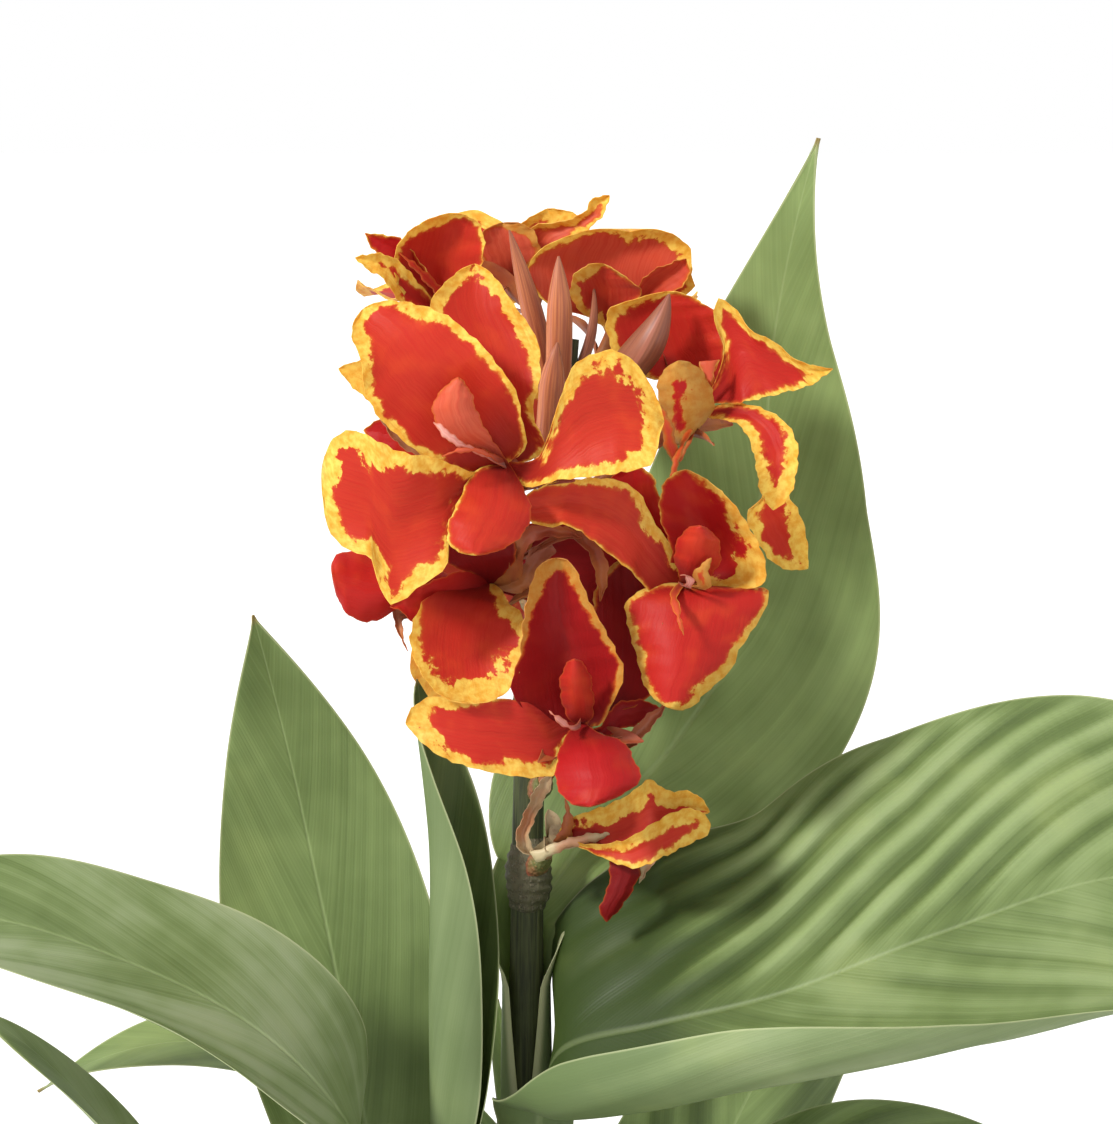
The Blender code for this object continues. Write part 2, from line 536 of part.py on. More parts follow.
def bloom(name, finish, root, throat, outer, petals):
    """The floral tube with its petals, joined into one body."""
    group = new_group(name)
    root, throat = np.array(root, float), np.array(throat, float)
    axis = unit(throat - root)
    foot = root + axis * (OVARY_LENGTH + FIT_GAP)
    tube = [foot, (foot + throat) / 2, throat]
    host = add(name, limb(tube, TUBE_RADII, 3, 6))
    for k, (points, looks, half_width, curls, ruffle, outline) in enumerate(petals):
        points = np.array([throat - axis * 3, *points], float)
        add(name, petal(points, looks, half_width, curls, ruffle, outline, 1.7 * k), None, group)
    across_axis = unit(np.cross(axis, (0.3, 0.2, 1.0)))
    for k in range(OUTER_PETALS):
        turn = 2 * math.pi * (k + 0.5) / OUTER_PETALS
        away = math.cos(turn) * across_axis + math.sin(turn) * np.cross(axis, across_axis)
        points = throat + np.outer([-0.1, 0.3, 0.6], axis) * outer
        points += np.outer([0.04, 0.22, 0.65], away) * outer
        add(name, petal(points, [-away, -away, axis - away], 3.4, (40, 40), 0, NARROW, 0), None, group)
    combine(host, group, "UNION")
    fill_pockets(host)
    dress(host, finish)


def spreading_petals(root, throat, reach):
    """The petals of a bloom that faces away, spread round its own axis."""
    axis = unit(np.subtract(throat, root))
    up = unit(np.array([0, 0, 1.0]) - axis[2] * axis)
    made = []
    for turn, share, half_width in SPREAD:
        away = math.cos(math.radians(turn)) * up + math.sin(math.radians(turn)) * np.cross(up, axis)
        points = [throat + reach * share * (a * away + b * axis) for a, b in ((0.5, 0.36), (1.0, 0.3))]
        looks = [axis - away, axis - 0.2 * away, axis + 0.3 * away]
        made.append((points, looks, half_width, (26, 26), 2.0, ROUND))
    return made


def flowering_stem(finish):
    """The stem with its ovaries, node, bracts and buds, joined into one body."""
    group = new_group("growth")
    host = add("flowering_stem", limb(*SHOOTS["flowering_stem"], 14, 10))
    for root, throat, *_ in (*BLOOMS.values(), *BACK_BLOOMS.values()):
        axis = unit(np.array(throat, float) - root)
        line = root + np.outer([0, 0.55, 1], axis) * OVARY_LENGTH
        add("ovary", limb(line, OVARY_RADII, 4, 6), None, group)
    for line, radius in BUDS:
        add("bud", limb(line, (1.2, radius, 0.5), 6, 6), None, group)
    add("knuckle", limb(KNUCKLE, (5.0, 7.6, 4.4), 5, 10), None, group)
    combine(host, group, "UNION")
    dress(host, finish)


def lathe(profile, sides):
    """A closed solid turned round the Z axis from a profile that starts and ends on it."""
    vertices = [(0, 0, profile[0][1]), (0, 0, profile[-1][1])]
    faces = []
    inner = profile[1:-1]
    for r, z in inner:
        for k in range(sides):
            turn = 2 * math.pi * k / sides
            vertices.append((r * math.cos(turn), r * math.sin(turn), z))
    for k in range(sides):
        following = (k + 1) % sides
        faces.append((0, 2 + following, 2 + k))
        last = 2 + (len(inner) - 1) * sides
        faces.append((1, last + k, last + following))
        for i in range(len(inner) - 1):
            a, b = 2 + i * sides + k, 2 + i * sides + following
            faces.append((a, b, b + sides, a + sides))
    return np.array(vertices, float), faces


def wall_radius(z):
    """The pot's outer radius under its band, at that height."""
    band = POT_RIM_RADIUS - POT_BAND_PROUD
    return POT_FOOT_RADIUS + (band - POT_FOOT_RADIUS) * z / POT_HEIGHT


def pot(finish):
    ledge = POT_HEIGHT - POT_BAND_HEIGHT
    profile = [
        (0, 0), (POT_FOOT_RADIUS - 2, 0), (POT_FOOT_RADIUS, 2), (wall_radius(ledge), ledge),
        (wall_radius(ledge) + POT_BAND_PROUD, ledge + 2), (POT_RIM_RADIUS, POT_HEIGHT - 2),
        (POT_RIM_RADIUS - 2, POT_HEIGHT), (wall_radius(POT_HEIGHT) - POT_WALL, POT_HEIGHT),
        (wall_radius(POT_FLOOR) - POT_WALL, POT_FLOOR), (0, POT_FLOOR),
    ]
    host = add("pot", lathe(profile, POT_SIDES))
    group = new_group("drains")
    for k in range(DRAIN_HOLES):
        turn = 2 * math.pi * (k + 0.5) / DRAIN_HOLES
        x, y = DRAIN_CIRCLE * math.cos(turn), DRAIN_CIRCLE * math.sin(turn)
        hole = [(x, y, -5), (x, y, POT_FLOOR / 2), (x, y, POT_FLOOR + 5)]
        add("drain", limb(hole, [DRAIN_RADIUS] * 3, 2, 14), None, group)
    combine(host, group, "DIFFERENCE")
    dress(host, finish)


def soil(finish):
    """The soil, clear of the pot all round, with a plain round hole for each stem."""
    low = POT_FLOOR + FIT_GAP
    inside = [(wall_radius(z) - POT_WALL - FIT_GAP, z) for z in (low, SOIL_TOP - SOIL_MOUND)]
    edge = inside[1][0]
    top = [(edge * share, SOIL_TOP - SOIL_MOUND * share**2) for share in (0.84, 0.66, 0.46, 0.24)]
    vertices, faces = lathe([(0, low), *inside, *top, (0, SOIL_TOP)], POT_SIDES)
    bumps = np.sin(vertices[:, 0] / 6.3) * np.cos(vertices[:, 1] / 5.1) + np.sin(vertices[:, 0] / 11 + 2)
    vertices[:, 2] += np.where(vertices[:, 2] > low + 1, bumps, 0)
    host = add("soil", (vertices, faces))
    group = new_group("stem_holes")
    for points, radii in SHOOTS.values():
        x, y, z = points[0]
        hole = [(x, y, z - FIT_GAP), *points[1:3]]
        add("hole", limb(hole, [r + FIT_GAP for r in radii[:3]], 8, 10), None, group)
    combine(host, group, "DIFFERENCE")
    dress(host, finish)


def main():
    for old in list(bpy.data.objects):
        bpy.data.objects.remove(old)
    pot(material("fired_clay", (0.50, 0.20, 0.10), 0.8))
    soil(material("soil", (0.05, 0.03, 0.02), 0.95))
    flowering_stem(material("stem_green", (0.12, 0.16, 0.06), 0.5))
    for name in ("left_shoot", "back_shoot"):
        add(name, limb(*SHOOTS[name], 8, 10), material(name, (0.20, 0.30, 0.10), 0.5))
    for name, spec in LEAVES.items():
        leaf(name, material(name, (0.26, 0.36, 0.13), 0.45), **spec)
    blooms = dict(BLOOMS)
    for name, spec in BACK_BLOOMS.items():
        blooms[name] = (*spec[:2], 26, spreading_petals(*spec))
    for name, spec in blooms.items():
        bloom(name, material(name, (0.75, 0.06, 0.03), 0.5), *spec)


main()
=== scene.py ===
"""The looks of a canna lily in flower, growing in a plain round pot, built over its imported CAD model.

Places and sizes are in millimetres in the CAD model's own frame, and each mesh is scaled to metres
as it is made. The flowering side faces -Y. Colours are the photograph's, as 0 to 255 sRGB values.
"""

import math

import bmesh
import bpy
import numpy as np
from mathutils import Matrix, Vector


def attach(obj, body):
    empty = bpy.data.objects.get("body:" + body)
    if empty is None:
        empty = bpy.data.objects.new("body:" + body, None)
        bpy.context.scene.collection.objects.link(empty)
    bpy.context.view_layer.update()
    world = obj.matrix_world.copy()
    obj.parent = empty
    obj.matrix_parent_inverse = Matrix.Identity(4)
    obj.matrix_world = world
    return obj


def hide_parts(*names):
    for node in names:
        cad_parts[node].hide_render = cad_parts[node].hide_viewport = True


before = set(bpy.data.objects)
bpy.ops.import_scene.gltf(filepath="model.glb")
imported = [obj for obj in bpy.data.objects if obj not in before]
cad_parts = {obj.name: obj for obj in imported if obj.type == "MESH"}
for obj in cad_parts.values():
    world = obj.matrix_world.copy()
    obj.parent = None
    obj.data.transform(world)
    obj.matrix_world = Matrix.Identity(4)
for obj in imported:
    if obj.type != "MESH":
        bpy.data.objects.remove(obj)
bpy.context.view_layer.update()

MM = 0.001
SEED = 7

# The pot and the soil, in millimetres, as in the CAD model
POT_HEIGHT = 190.0
POT_FOOT_RADIUS = 84.0
POT_RIM_RADIUS = 116.0
POT_BAND_HEIGHT = 34.0
POT_BAND_PROUD = 5.0
POT_WALL = 6.0
POT_FLOOR = 8.0
POT_SIDES = 144
DRAIN_HOLES = 3
DRAIN_RADIUS = 6.0
DRAIN_CIRCLE = 44.0
SOIL_TOP = 168.0
SOIL_MOUND = 5.0
FIT_GAP = 0.35

# The plant's driving dimensions: lengths in millimetres, the sheaths' angles in degrees, and shares
STEM_FOOT = 132.0
SHEATH_WRAP = 148.0
SHEATH_GAP = 1.0
UNFOLD_LENGTH = 32.0
SHEATH_CLEARANCE = 0.45
LEAF_THICKNESS = 0.5
RIB_HALF_WIDTH = 1.7
RIB_HEIGHT = 1.5
EDGE_HALF_WIDTH = 0.7
PLEAT_SPACING = 16.0
SHEATH_CLOSED = 172.0
PETAL_THICKNESS = 0.42
PETAL_CURL_POWER = 0.8
CUP_SCALE = 1.8
DEPTH_SCALE = 1.15
TIP_SHARE = 1.03
RUFFLED_WIDTH = 30.0

# The stem is green below the first height, and from the fade's length above it a dark green, darker still
# by painted shade
LEAFY_BELOW = 340.0
LEAFY_FADE = 40.0

# A leaf's pinch, in shares of the blade: how fast it comes, where it starts to go, how slowly it goes
PINCH_RISE = 0.06
PINCH_HOLD = 0.04
PINCH_FADE = 0.19

# The pleats: the shares of the main and the finer waves, and how high they are on the right half
MAIN_WAVE = 0.82
FINE_WAVE = 0.18
RIGHT_HALF_PLEATS = 0.4

# The ruffle along a leaf's margin, and the end of the foot's darker green and painted shade, as shares of
# the blade
MARGIN_RUFFLE = 0.9
MARGIN_RUFFLE_LENGTH = 13.0
DARK_SHADED_FOOT = 0.1
DARK_SHADED_FOOT_FADE = 0.32

# How finely each kind of sheet is divided
SHEATH_ROWS = 14
BLADE_ROW = 2.0
COLUMN_WIDTH = 1.35
FEWEST_COLUMNS = 14
MOST_COLUMNS = 60
RIB_COLUMNS = 3
PETAL_ROWS = 40
PETAL_COLUMNS = 29

# The rings along each round limb and the sides round it
STEM_GRID = (90, 30)
KNUCKLE_GRID = (44, 40)
OVARY_GRID = (22, 30)
BUD_GRID = (40, 24)
TUBE_GRID = (12, 18)
DRAIN_GRID = (2, 32)

# Each shoot: the line of its stem from the soil up, and the stem's radius at each of those points
SHOOTS = {
    "flowering_stem": (
        [(0, 0, STEM_FOOT), (-2, 0, 240), (-1, 0, 340), (-1, 0, 428),
         (1, 3, 500), (8, 6, 560), (13, 8, 600)],
        [8.6, 8.0, 6.4, 4.9, 4.4, 3.4, 1.8],
    ),
    "left_shoot": (
        [(-32, -15, STEM_FOOT), (-30, -15, 220), (-27, -15, 290), (-26, -15, 322)],
        [7.6, 7.0, 6.0, 5.2],
    ),
    "back_shoot": (
        [(16, 27, STEM_FOOT), (16, 29, 220), (15, 31, 290), (15, 32, 326)],
        [7.2, 6.6, 5.8, 4.6],
    ),
}

# Each leaf: its shoot, where its sheath starts and ends on that stem, the midrib beyond the sheath,
# the way the upper face looks at each of those points, and the half width. Shape is how steeply the
# width rises and falls. Curls are how many degrees each half curls up: left, then right, seen from
# above with the tip pointing away. Powers are how near the margin each curl sits, and unroll how late
# towards the tip it fades. Wrap is how many degrees round the stem each half of the sheath reaches, back
# the way from the stem to the sheath's middle where that isn't towards the midrib, and gap the room
# between the two. Unfold is the length over which the sheath opens. Pinch is the share by which each
# half is narrowed near the blade's foot. Pleat is the height of the pleats between the side veins, and
# also how strong the painted highlight on their ridges and the painted shade in their furrows are;
# slant is how steeply those veins lean towards the tip. Tone is how light the leaf is, the foot's
# darkening how much darker its foot is, partly a darker green and partly painted shade, and the wax
# how strong its waxy grey bloom is, which also paints sheen on the lighter parts
LEAVES = {
    "leaf_right_front": dict(
        shoot="flowering_stem", low=290, high=348,
        midrib=[(4, -15, 377), (11, -26, 391), (37, -40, 400), (74, -50, 411),
                (120, -57, 430), (172, -60, 447), (252, -54, 446)],
        faces=[(-0.75, 0.3, 0.3), (-0.7, -0.5, 0.4), (-0.4, -0.65, 0.6), (-0.15, -0.62, 0.74),
               (0, -0.66, 0.74), (0, -0.7, 0.7), (0.3, -0.6, 0.7)],
        half_width=80, shape=(0.66, 0.65), curls=(-10, 235), powers=(1.0, 2.1),
        gap=2.8, unfold=80, unroll=0.95, pinch=(0.3, 0.5), pleat=0.95, slant=1.5, tone=0.42,
        foot_dark=1.0, wax=0.5,
    ),
    "leaf_right_rear": dict(
        shoot="flowering_stem", low=366, high=412,
        midrib=[(7, 14, 434), (20, 31, 449), (45, 44, 474), (65, 47, 508),
                (71, 40, 553), (75, 31, 604), (87, 20, 660)],
        faces=[(-0.5, -0.8, 0.1), (-0.4, -0.9, 0.1), (-0.3, -0.95, 0.0), (-0.2, -0.95, 0.0),
               (-0.3, -0.95, 0.0), (-0.4, -0.9, 0.1), (-0.6, -0.8, 0.2)],
        half_width=46, shape=(0.74, 1.3), curls=(16, 18), powers=(1.0, 1.4),
        wrap=132, back=(0.1, 1, 0), gap=1.4, pinch=(0, 0.15), pleat=0.06, slant=3.6, tone=0.6,
        foot_dark=0.15,
    ),
    "leaf_right_low": dict(
        shoot="flowering_stem", low=176, high=206,
        midrib=[(24, -8, 256), (54, -8, 318), (102, -6, 350), (156, -4, 338), (198, -4, 296)],
        faces=[(-0.8, 0.0, 0.6), (-0.6, -0.2, 0.8), (-0.1, -0.3, 0.95),
               (0.4, -0.3, 0.85), (0.8, -0.2, 0.5)],
        half_width=38, shape=(0.85, 1.1), curls=(30, 26), powers=(1.2, 1.2),
        pleat=0.45, slant=1.8, tone=0.45,
    ),
    "leaf_left_rear": dict(
        shoot="left_shoot", low=222, high=250,
        midrib=[(-43, 2, 292), (-49, 8, 352), (-59, 14, 405), (-66, 18, 438),
                (-73, 18, 471), (-84, 14, 516)],
        faces=[(0.6, -0.6, 0.2), (0.3, -0.9, 0.1), (0.2, -0.95, 0.1), (0.2, -0.95, 0.0),
               (0.25, -0.95, 0.0), (0.3, -0.9, 0.0)],
        half_width=34, shape=(1.5, 1.1), curls=(20, 30), powers=(1.0, 1.2),
        pleat=0.08, slant=3.2, tone=0.45,
    ),
    "leaf_left_front": dict(
        shoot="left_shoot", low=276, high=296,
        midrib=[(-38, -42, 336), (-54, -60, 376), (-80, -66, 404), (-118, -68, 424),
                (-160, -66, 436), (-240, -56, 432)],
        faces=[(0.7, 0.5, 0.5), (0.6, -0.3, 0.8), (0.35, -0.45, 0.9), (0.2, -0.45, 0.9),
               (0.0, -0.45, 0.9), (-0.2, -0.4, 0.9)],
        half_width=38, shape=(0.85, 1.1), curls=(36, 26), powers=(1.3, 1.3),
        pleat=0.16, slant=2.6, tone=0.5, wax=1.2,
    ),
    "leaf_left_low": dict(
        shoot="left_shoot", low=176, high=194,
        midrib=[(-60, -36, 254), (-93, -56, 322), (-124, -64, 376), (-158, -68, 408)],
        faces=[(0.7, 0.3, 0.4), (0.6, 0.1, 0.7), (0.5, -0.15, 0.9), (0.4, -0.25, 0.9)],
        half_width=22, shape=(0.85, 0.7), curls=(40, 40), powers=(1.2, 1.2),
        pleat=0.2, slant=2.4, tone=0.55, wax=1.0,
    ),
    "leaf_rolled": dict(
        shoot="left_shoot", low=306, high=324,
        midrib=[(-28, -9, 362), (-29, -12, 402), (-29, -13, 446), (-31, -16, 474), (-33.5, -18, 500)],
        faces=[(0.5, -0.8, 0.0), (0.7, -0.7, 0.0), (0.8, -0.6, 0.0), (0.8, -0.6, 0.0), (0.8, -0.6, 0.0)],
        half_width=26, shape=(0.5, 0.8), curls=(150, 128), powers=(0.6, 0.6),
        pleat=0.04, slant=4.0, tone=0.25,
    ),
    "leaf_back_right": dict(
        shoot="back_shoot", low=178, high=208,
        midrib=[(34, 52, 262), (60, 88, 334), (88, 130, 374), (112, 188, 370)],
        faces=[(-0.5, -0.5, 0.5), (-0.4, -0.5, 0.8), (-0.2, -0.2, 0.95), (0.2, 0.3, 0.9)],
        half_width=42, shape=(0.85, 1.1), curls=(22, 22), powers=(1.2, 1.2),
        pleat=0.45, slant=1.8, tone=0.45,
    ),
    "leaf_back_left": dict(
        shoot="back_shoot", low=240, high=268,
        midrib=[(-4, 44, 308), (-36, 46, 348), (-74, 36, 374), (-112, 30, 382), (-152, 34, 366)],
        faces=[(0.6, -0.5, 0.4), (0.5, -0.4, 0.7), (0.2, -0.3, 0.95), (0, -0.3, 0.95), (-0.3, -0.2, 0.9)],
        half_width=32, shape=(0.85, 1.1), curls=(24, 24), powers=(1.2, 1.2),
        pleat=0.35, slant=2.0, tone=0.45,
    ),
    "leaf_back_small": dict(
        shoot="back_shoot", low=300, high=324,
        midrib=[(2, 32, 350), (-7, 27, 376), (-10, 22, 397)],
        faces=[(0.3, -0.9, 0.1), (0.2, -0.9, 0.0), (0.2, -0.9, 0.1)],
        half_width=8, shape=(0.85, 1.1), curls=(50, 50), powers=(1.0, 1.0),
        pleat=0.05, slant=3.0, tone=0.7,
    ),
}

# Each bloom: where its ovary leaves the stem, the throat, and the length of its narrow outer petals
BLOOMS = {
    "bloom_front": ((3, 4, 522), (-7, -48, 566), 30),
    "bloom_low_front": ((1, 2, 462), (15, -44, 490), 26),
    "bloom_right": ((3, 4, 496), (45, -34, 530), 28),
    "bloom_upper_right": ((8, 6, 548), (51, -6, 580), 28),
    "bloom_upper_back": ((10, 7, 576), (27, 28, 602), 26),
    "bloom_top": ((11, 8, 586), (-3, 38, 616), 26),
    "bloom_upper_left": ((8, 6, 560), (-23, 16, 606), 30),
    "bloom_left_low": ((0, 2, 482), (-12, -24, 529), 26),
    "bloom_spent": ((-1, 0, 438), (9, -16, 453), 12),
    "bloom_back": ((3, 6, 516), (-16, 44, 550), 26),
    "bloom_back_low": ((1, 4, 484), (-9, 42, 506), 26),
}

# The petals that the photograph shows. An edge is drawn as the photograph's camera sees it, across and
# up in millimetres from the picture's centre, from beside the throat out to the tip. The second edge
# leaves out the tip, which both share. Depths are the Y of the throat end, the middle and the tip, and
# cup is how far the edges come towards the viewer. Margins are the yellow edge's widths: the first
# edge's near the throat and near the tip, then the second's. The red's depth runs from -2 for pale pink
# to 1 for dark red; it is partly each petal's own red and partly painted shade and light, darker inside
# hoods and on petals in the gaps between blooms, and paler on petals that lie in shade. Amber turns the
# yellow to a brownish orange. They stand in the order first edge, second edge, depths, cup, margins,
# the red's depth, amber
SEEN_PETALS = {
    "bloom_front": [
        ([(-20, 27), (-30, 27), (-42, 33.5), (-52, 42), (-57.5, 51), (-58.5, 60), (-61.5, 69), (-58, 76)],
         [(-9, 35), (-10.5, 43), (-12, 51), (-17, 58.5), (-25, 67.5), (-34, 74.5), (-44, 77.7),
          (-52, 78.3)], (-48, -61, -55), 4.0, (0.8, 4.6, 1.0, 4.0), 0.0, 0),
        ([(-13, 35), (-23, 48), (-35, 66), (-38, 77), (-31, 86), (-24.5, 89.5)],
         [(-3.5, 34), (-7, 44), (-4.8, 57), (-6, 67), (-13, 77.5), (-19, 86)],
         (-46, -49, -42), 3.0, (1.0, 4.5, 0.6, 6.0), 0.05, 0),
        ([(-6, 31), (-2.5, 38), (1, 49), (5, 58.5), (11, 62.5), (17, 63.5), (23, 60.5), (28, 53.5),
          (31, 47), (32.3, 42)],
         [(-9, 22.5), (0, 24.5), (12, 25.8), (22, 27.3), (28.5, 29.5), (30.3, 34), (31, 38)],
         (-48, -62, -57), 3.0, (0.0, 7.5, 1.4, 5.5), -0.05, 0),
        ([(-24, 27), (-37, 31.5), (-46, 32.8), (-54, 36.5), (-61, 39.5), (-67, 37), (-70.5, 27)],
         [(-25, 20), (-32, 8), (-33, -1), (-41, -7.5), (-49.5, -12.5), (-53.5, -6), (-56, 1.5), (-62, 3.5),
          (-68, 9), (-70, 18)], (-48, -65, -58), 2.5, (0.6, 10.0, 3.0, 4.2), 0.0, 0),
        ([(-24.5, 27), (-29.5, 18), (-32.7, 10), (-31.5, 4.5), (-24, 2)],
         [(-12, 26), (-9, 20), (-7.5, 15), (-10, 8.5), (-16, 4)],
         (-50, -69, -73), -3.0, (0.7, 0.9, 0.0, 0.2), 0.12, 0),
        ([(-22, 34), (-31, 35.5), (-36, 41), (-37, 47.5), (-33, 53), (-29.5, 55.5)],
         [(-18, 35), (-21, 39.5), (-24, 45.5), (-26, 51.5)],
         (-51, -67, -70), -2.0, (0.3, 0.3, 0.0, 0.3), -0.8, 0),
        ([(-27, 34), (-32, 36), (-37, 42)], [(-29, 36.5), (-33, 40)],
         (-53, -69, -71.5), -0.5, (0, 0, 0, 0), -1.6, 0),
        ([(-22, 33.5), (-28, 34.2), (-34.5, 31.5)], [(-22, 32.3), (-28, 33)],
         (-52, -68, -71), -0.5, (0, 0, 0, 0), -1.0, 0),
        ([(-18, 33), (-40, 44), (-52, 43), (-58, 39.5)], [(-18, 27), (-40, 30), (-52, 34)],
         (-46, -47, -44), 1.0, (0, 0.5, 0, 0.5), 0.6, 0),
        ([(-25, 40), (-50, 57), (-58, 60.3), (-65.5, 58)], [(-24, 36), (-50, 45), (-59, 50.5)],
         (-46, -50, -52), 1.0, (0, 6, 0, 6), 0.3, 0),
    ],
    "bloom_low_front": [
        ([(2, -49), (-8, -46), (-13.5, -38), (-11, -28), (-10, -18), (-8, -8), (-5, -1), (0, 1.2)],
         [(13, -49), (16.5, -43), (18.7, -38.5), (20.3, -33), (17.5, -26), (13.5, -18.5), (9.5, -11),
          (6.5, -4), (4, 0)], (-44, -48, -56), 6.0, (-4.0, 5.0, 0.6, 3.0), 0.85, 0.6),
        ([(0, -48), (-7, -43), (-16, -41), (-27, -41), (-37, -40.3), (-43, -43.5), (-45.3, -48.5)],
         [(2, -57), (0, -63.5), (-8, -64.6), (-18, -63.4), (-27, -61.3), (-34, -58.7), (-40, -54.5)],
         (-45, -53, -50), 1.5, (-3.5, 6.0, 2.6, 5.6), 0.2, 0.15),
        ([(3, -52), (0.5, -58), (0, -66.5), (3.5, -71.8), (10, -73.5)],
         [(13, -51.5), (20, -54), (24, -61), (25.4, -65), (19.5, -69.8)],
         (-46, -63, -68), -3.0, (0, 0, 0, 0), 0.7, 0),
        ([(3, -46), (1, -37), (2.5, -31.3), (5.3, -29)], [(11, -46), (10.5, -36), (8.5, -31)],
         (-46, -58, -62), -4.0, (0, 0, 0, 0), 0.35, 0),
        ([(5, -49), (1, -46.5), (-2.3, -44.5)], [(5, -50.5), (1, -48.5)],
         (-50, -60, -62), -0.5, (0, 0, 0, 0), -1.6, 0),
        ([(12, -50), (18, -42.5), (26, -41.5), (31, -44)], [(13, -53), (20, -50), (26, -48)],
         (-44, -38, -34), 1.0, (0, 0, 0, 0), 0.9, 0),
        ([(14, -46), (27, -41), (31, -26), (29, -10), (20, 1)], [(10, -44), (11, -24), (12, -7)],
         (-40, -31, -27), 1.0, (0, 1.0, 0, 1.2), 0.95, 0.7),
    ],
    "bloom_right": [
        ([(34, -4), (34.5, 4), (31, 14), (32.5, 24), (39, 27.8)],
         [(44, -8), (55, -8.2), (62.3, -6.3), (62, 2), (58, 10), (53, 17.5), (46, 24)],
         (-34, -38, -44), 5.0, (0.0, 0.8, 8.5, 0.8), 0.6, 0.2),
        ([(29, -7), (21, -12), (21.5, -19), (24, -28), (27, -38), (33, -43.5)],
         [(44, -7), (55, -7.7), (63.5, -8.5), (61, -17), (55, -26), (52.5, -32), (45, -39), (39.5, -44)],
         (-36, -50, -53), -4.0, (1.6, 2.4, 0.0, 4.2), 0.4, 0.3),
        ([(37, -2), (35, 4), (30, 11), (27, 17), (23.5, 22), (17, 24.8), (5, 24.8), (-5, 22.5), (-13, 16)],
         [(30, -10), (22, -2.5), (15, 3), (8, 8.5), (3, 11), (-4, 10.7)],
         (-36, -46, -50), 2.0, (5.0, 0.0, 0.8, 1.0), -0.15, 0.15),
        ([(33, -2), (20, 12), (16, 24), (24, 28.7)], [(37, 1), (33.3, 12), (30.7, 20), (28.7, 26)],
         (-34, -39, -42), 1.0, (0, 0, 0.4, 0.6), 0.55, 0),
        ([(37, -5), (35.3, 2.5), (38, 9), (43, 11)], [(45, -5), (49, 0), (48.3, 7)],
         (-36, -52, -56), -4.5, (0, 0, 0, 0), 0.35, 0),
        ([(38, -7), (39, -4.2), (37, -4)], [(40.5, -8), (41, -5)],
         (-40, -54, -57), -0.5, (0, 0, 0, 0), -2.0, 0),
        ([(42, -7), (41, -3.5), (46.5, 1.3)], [(46, -8), (45.8, -3)],
         (-38, -50, -53), -0.5, (2, 2, 2, 2), -0.4, 0.7),
        ([(34, -10), (35, -14), (38.2, -22)], [(36.5, -10), (37, -14)],
         (-40, -55, -57), -0.3, (0.3, 0.3, 0.3, 0.3), -0.6, 0),
    ],
    "bloom_upper_right": [
        ([(40, 55), (28, 55), (17.5, 62.5), (15.3, 75), (24, 79), (33, 81.2)],
         [(49, 54), (50, 66), (48.5, 74), (43, 78.2), (38, 80.6)],
         (-6, -7, -10), 3.0, (0.0, 4.0, 0.0, 0.9), 0.25, 0),
        ([(47, 53), (50.3, 64), (47.2, 73), (48.6, 79), (54, 75.7), (58, 69.8), (66, 65.7), (71, 61.2),
          (77, 59), (83, 58)], [(46, 47.5), (53, 47.5), (62, 49.3), (70, 51.3), (76, 53)],
         (-7, -16, -13), 2.0, (1.0, 3.4, 0.0, 3.0), 0.35, 0),
        ([(46, 46.5), (53, 47.8), (62, 46), (69, 41.5), (72.3, 35), (72, 27), (70, 20), (65, 15.5)],
         [(46, 43.2), (51, 42.6), (55.5, 40.5), (58.5, 35), (60, 28), (61.3, 21)],
         (-8, -22, -26), 1.5, (0.8, 5.0, 0.8, 5.0), 0.4, 0),
        ([(37, 35), (33, 42), (30.4, 50), (31.2, 56), (36.5, 60.4)],
         [(40, 38), (44, 41.5), (47.3, 46.5), (46, 53), (42, 58.7)],
         (-8, -23, -28), -4.0, (2.0, 5.0, 6.0, 7.5), 0.6, 0.6),
        ([(52, 46), (62, 44), (68, 35), (69, 22), (74, 12), (75.5, -2)],
         [(52, 43), (60.5, 38), (62.5, 28), (61.5, 19), (57, 14.5), (61, 4.8), (67, -1.5)],
         (-6, -11, -15), 1.0, (0.6, 5.5, 0.6, 3.6), 0.0, 0),
        ([(36, 30), (33, 33), (31.5, 40), (30, 48)], [(37, 30), (36, 35), (34.5, 42)],
         (-8, -26, -30), -0.5, (1.2, 1.2, 0.6, 1.0), -0.4, 0.9),
        ([(36, 33), (34.5, 29), (34.6, 24)], [(38, 34), (36.6, 29)],
         (-8, -26, -30), -0.5, (0.8, 0.8, 0.8, 0.8), 0.2, 0.9),
        ([(43, 60), (43.5, 57), (46.5, 54)], [(48.5, 60.5), (47, 56.5)],
         (-12, -20, -22), -0.5, (0.3, 0.3, 0.3, 0.3), -0.5, 0),
    ],
    "bloom_upper_back": [
        ([(8, 74), (-2, 77), (-7.5, 83), (-9, 87.5), (-5, 93.6), (3, 97.6), (12, 99.9), (22, 99)],
         [(27, 76), (36, 79), (41, 82), (40.5, 88), (40.3, 93.6), (35.5, 98), (29, 99.9)],
         (26, 20, 12), 4.0, (0.6, 2.4, 0.0, 6.5), -0.55, 0),
        ([(10, 73), (4.5, 79), (5, 85.5), (9, 88.9), (14, 89.5)], [(17, 73), (25.5, 80.5), (20, 86)],
         (24, 13, 8), 3.0, (5.0, 3.0, 0.6, 0.8), -0.3, 0.2),
        ([(20, 74), (27, 86), (35, 90), (39, 91)], [(26, 73), (34, 80), (39.5, 85)],
         (24, 15, 10), 2.0, (0.3, 0.3, 0, 0.5), -0.5, 0),
    ],
    "bloom_top": [
        ([(-12, 88), (-8, 100), (2, 102.3), (8, 104.8), (11, 109), (16, 110)],
         [(-6, 88), (4, 97.5), (10, 100.3), (14, 104.3)],
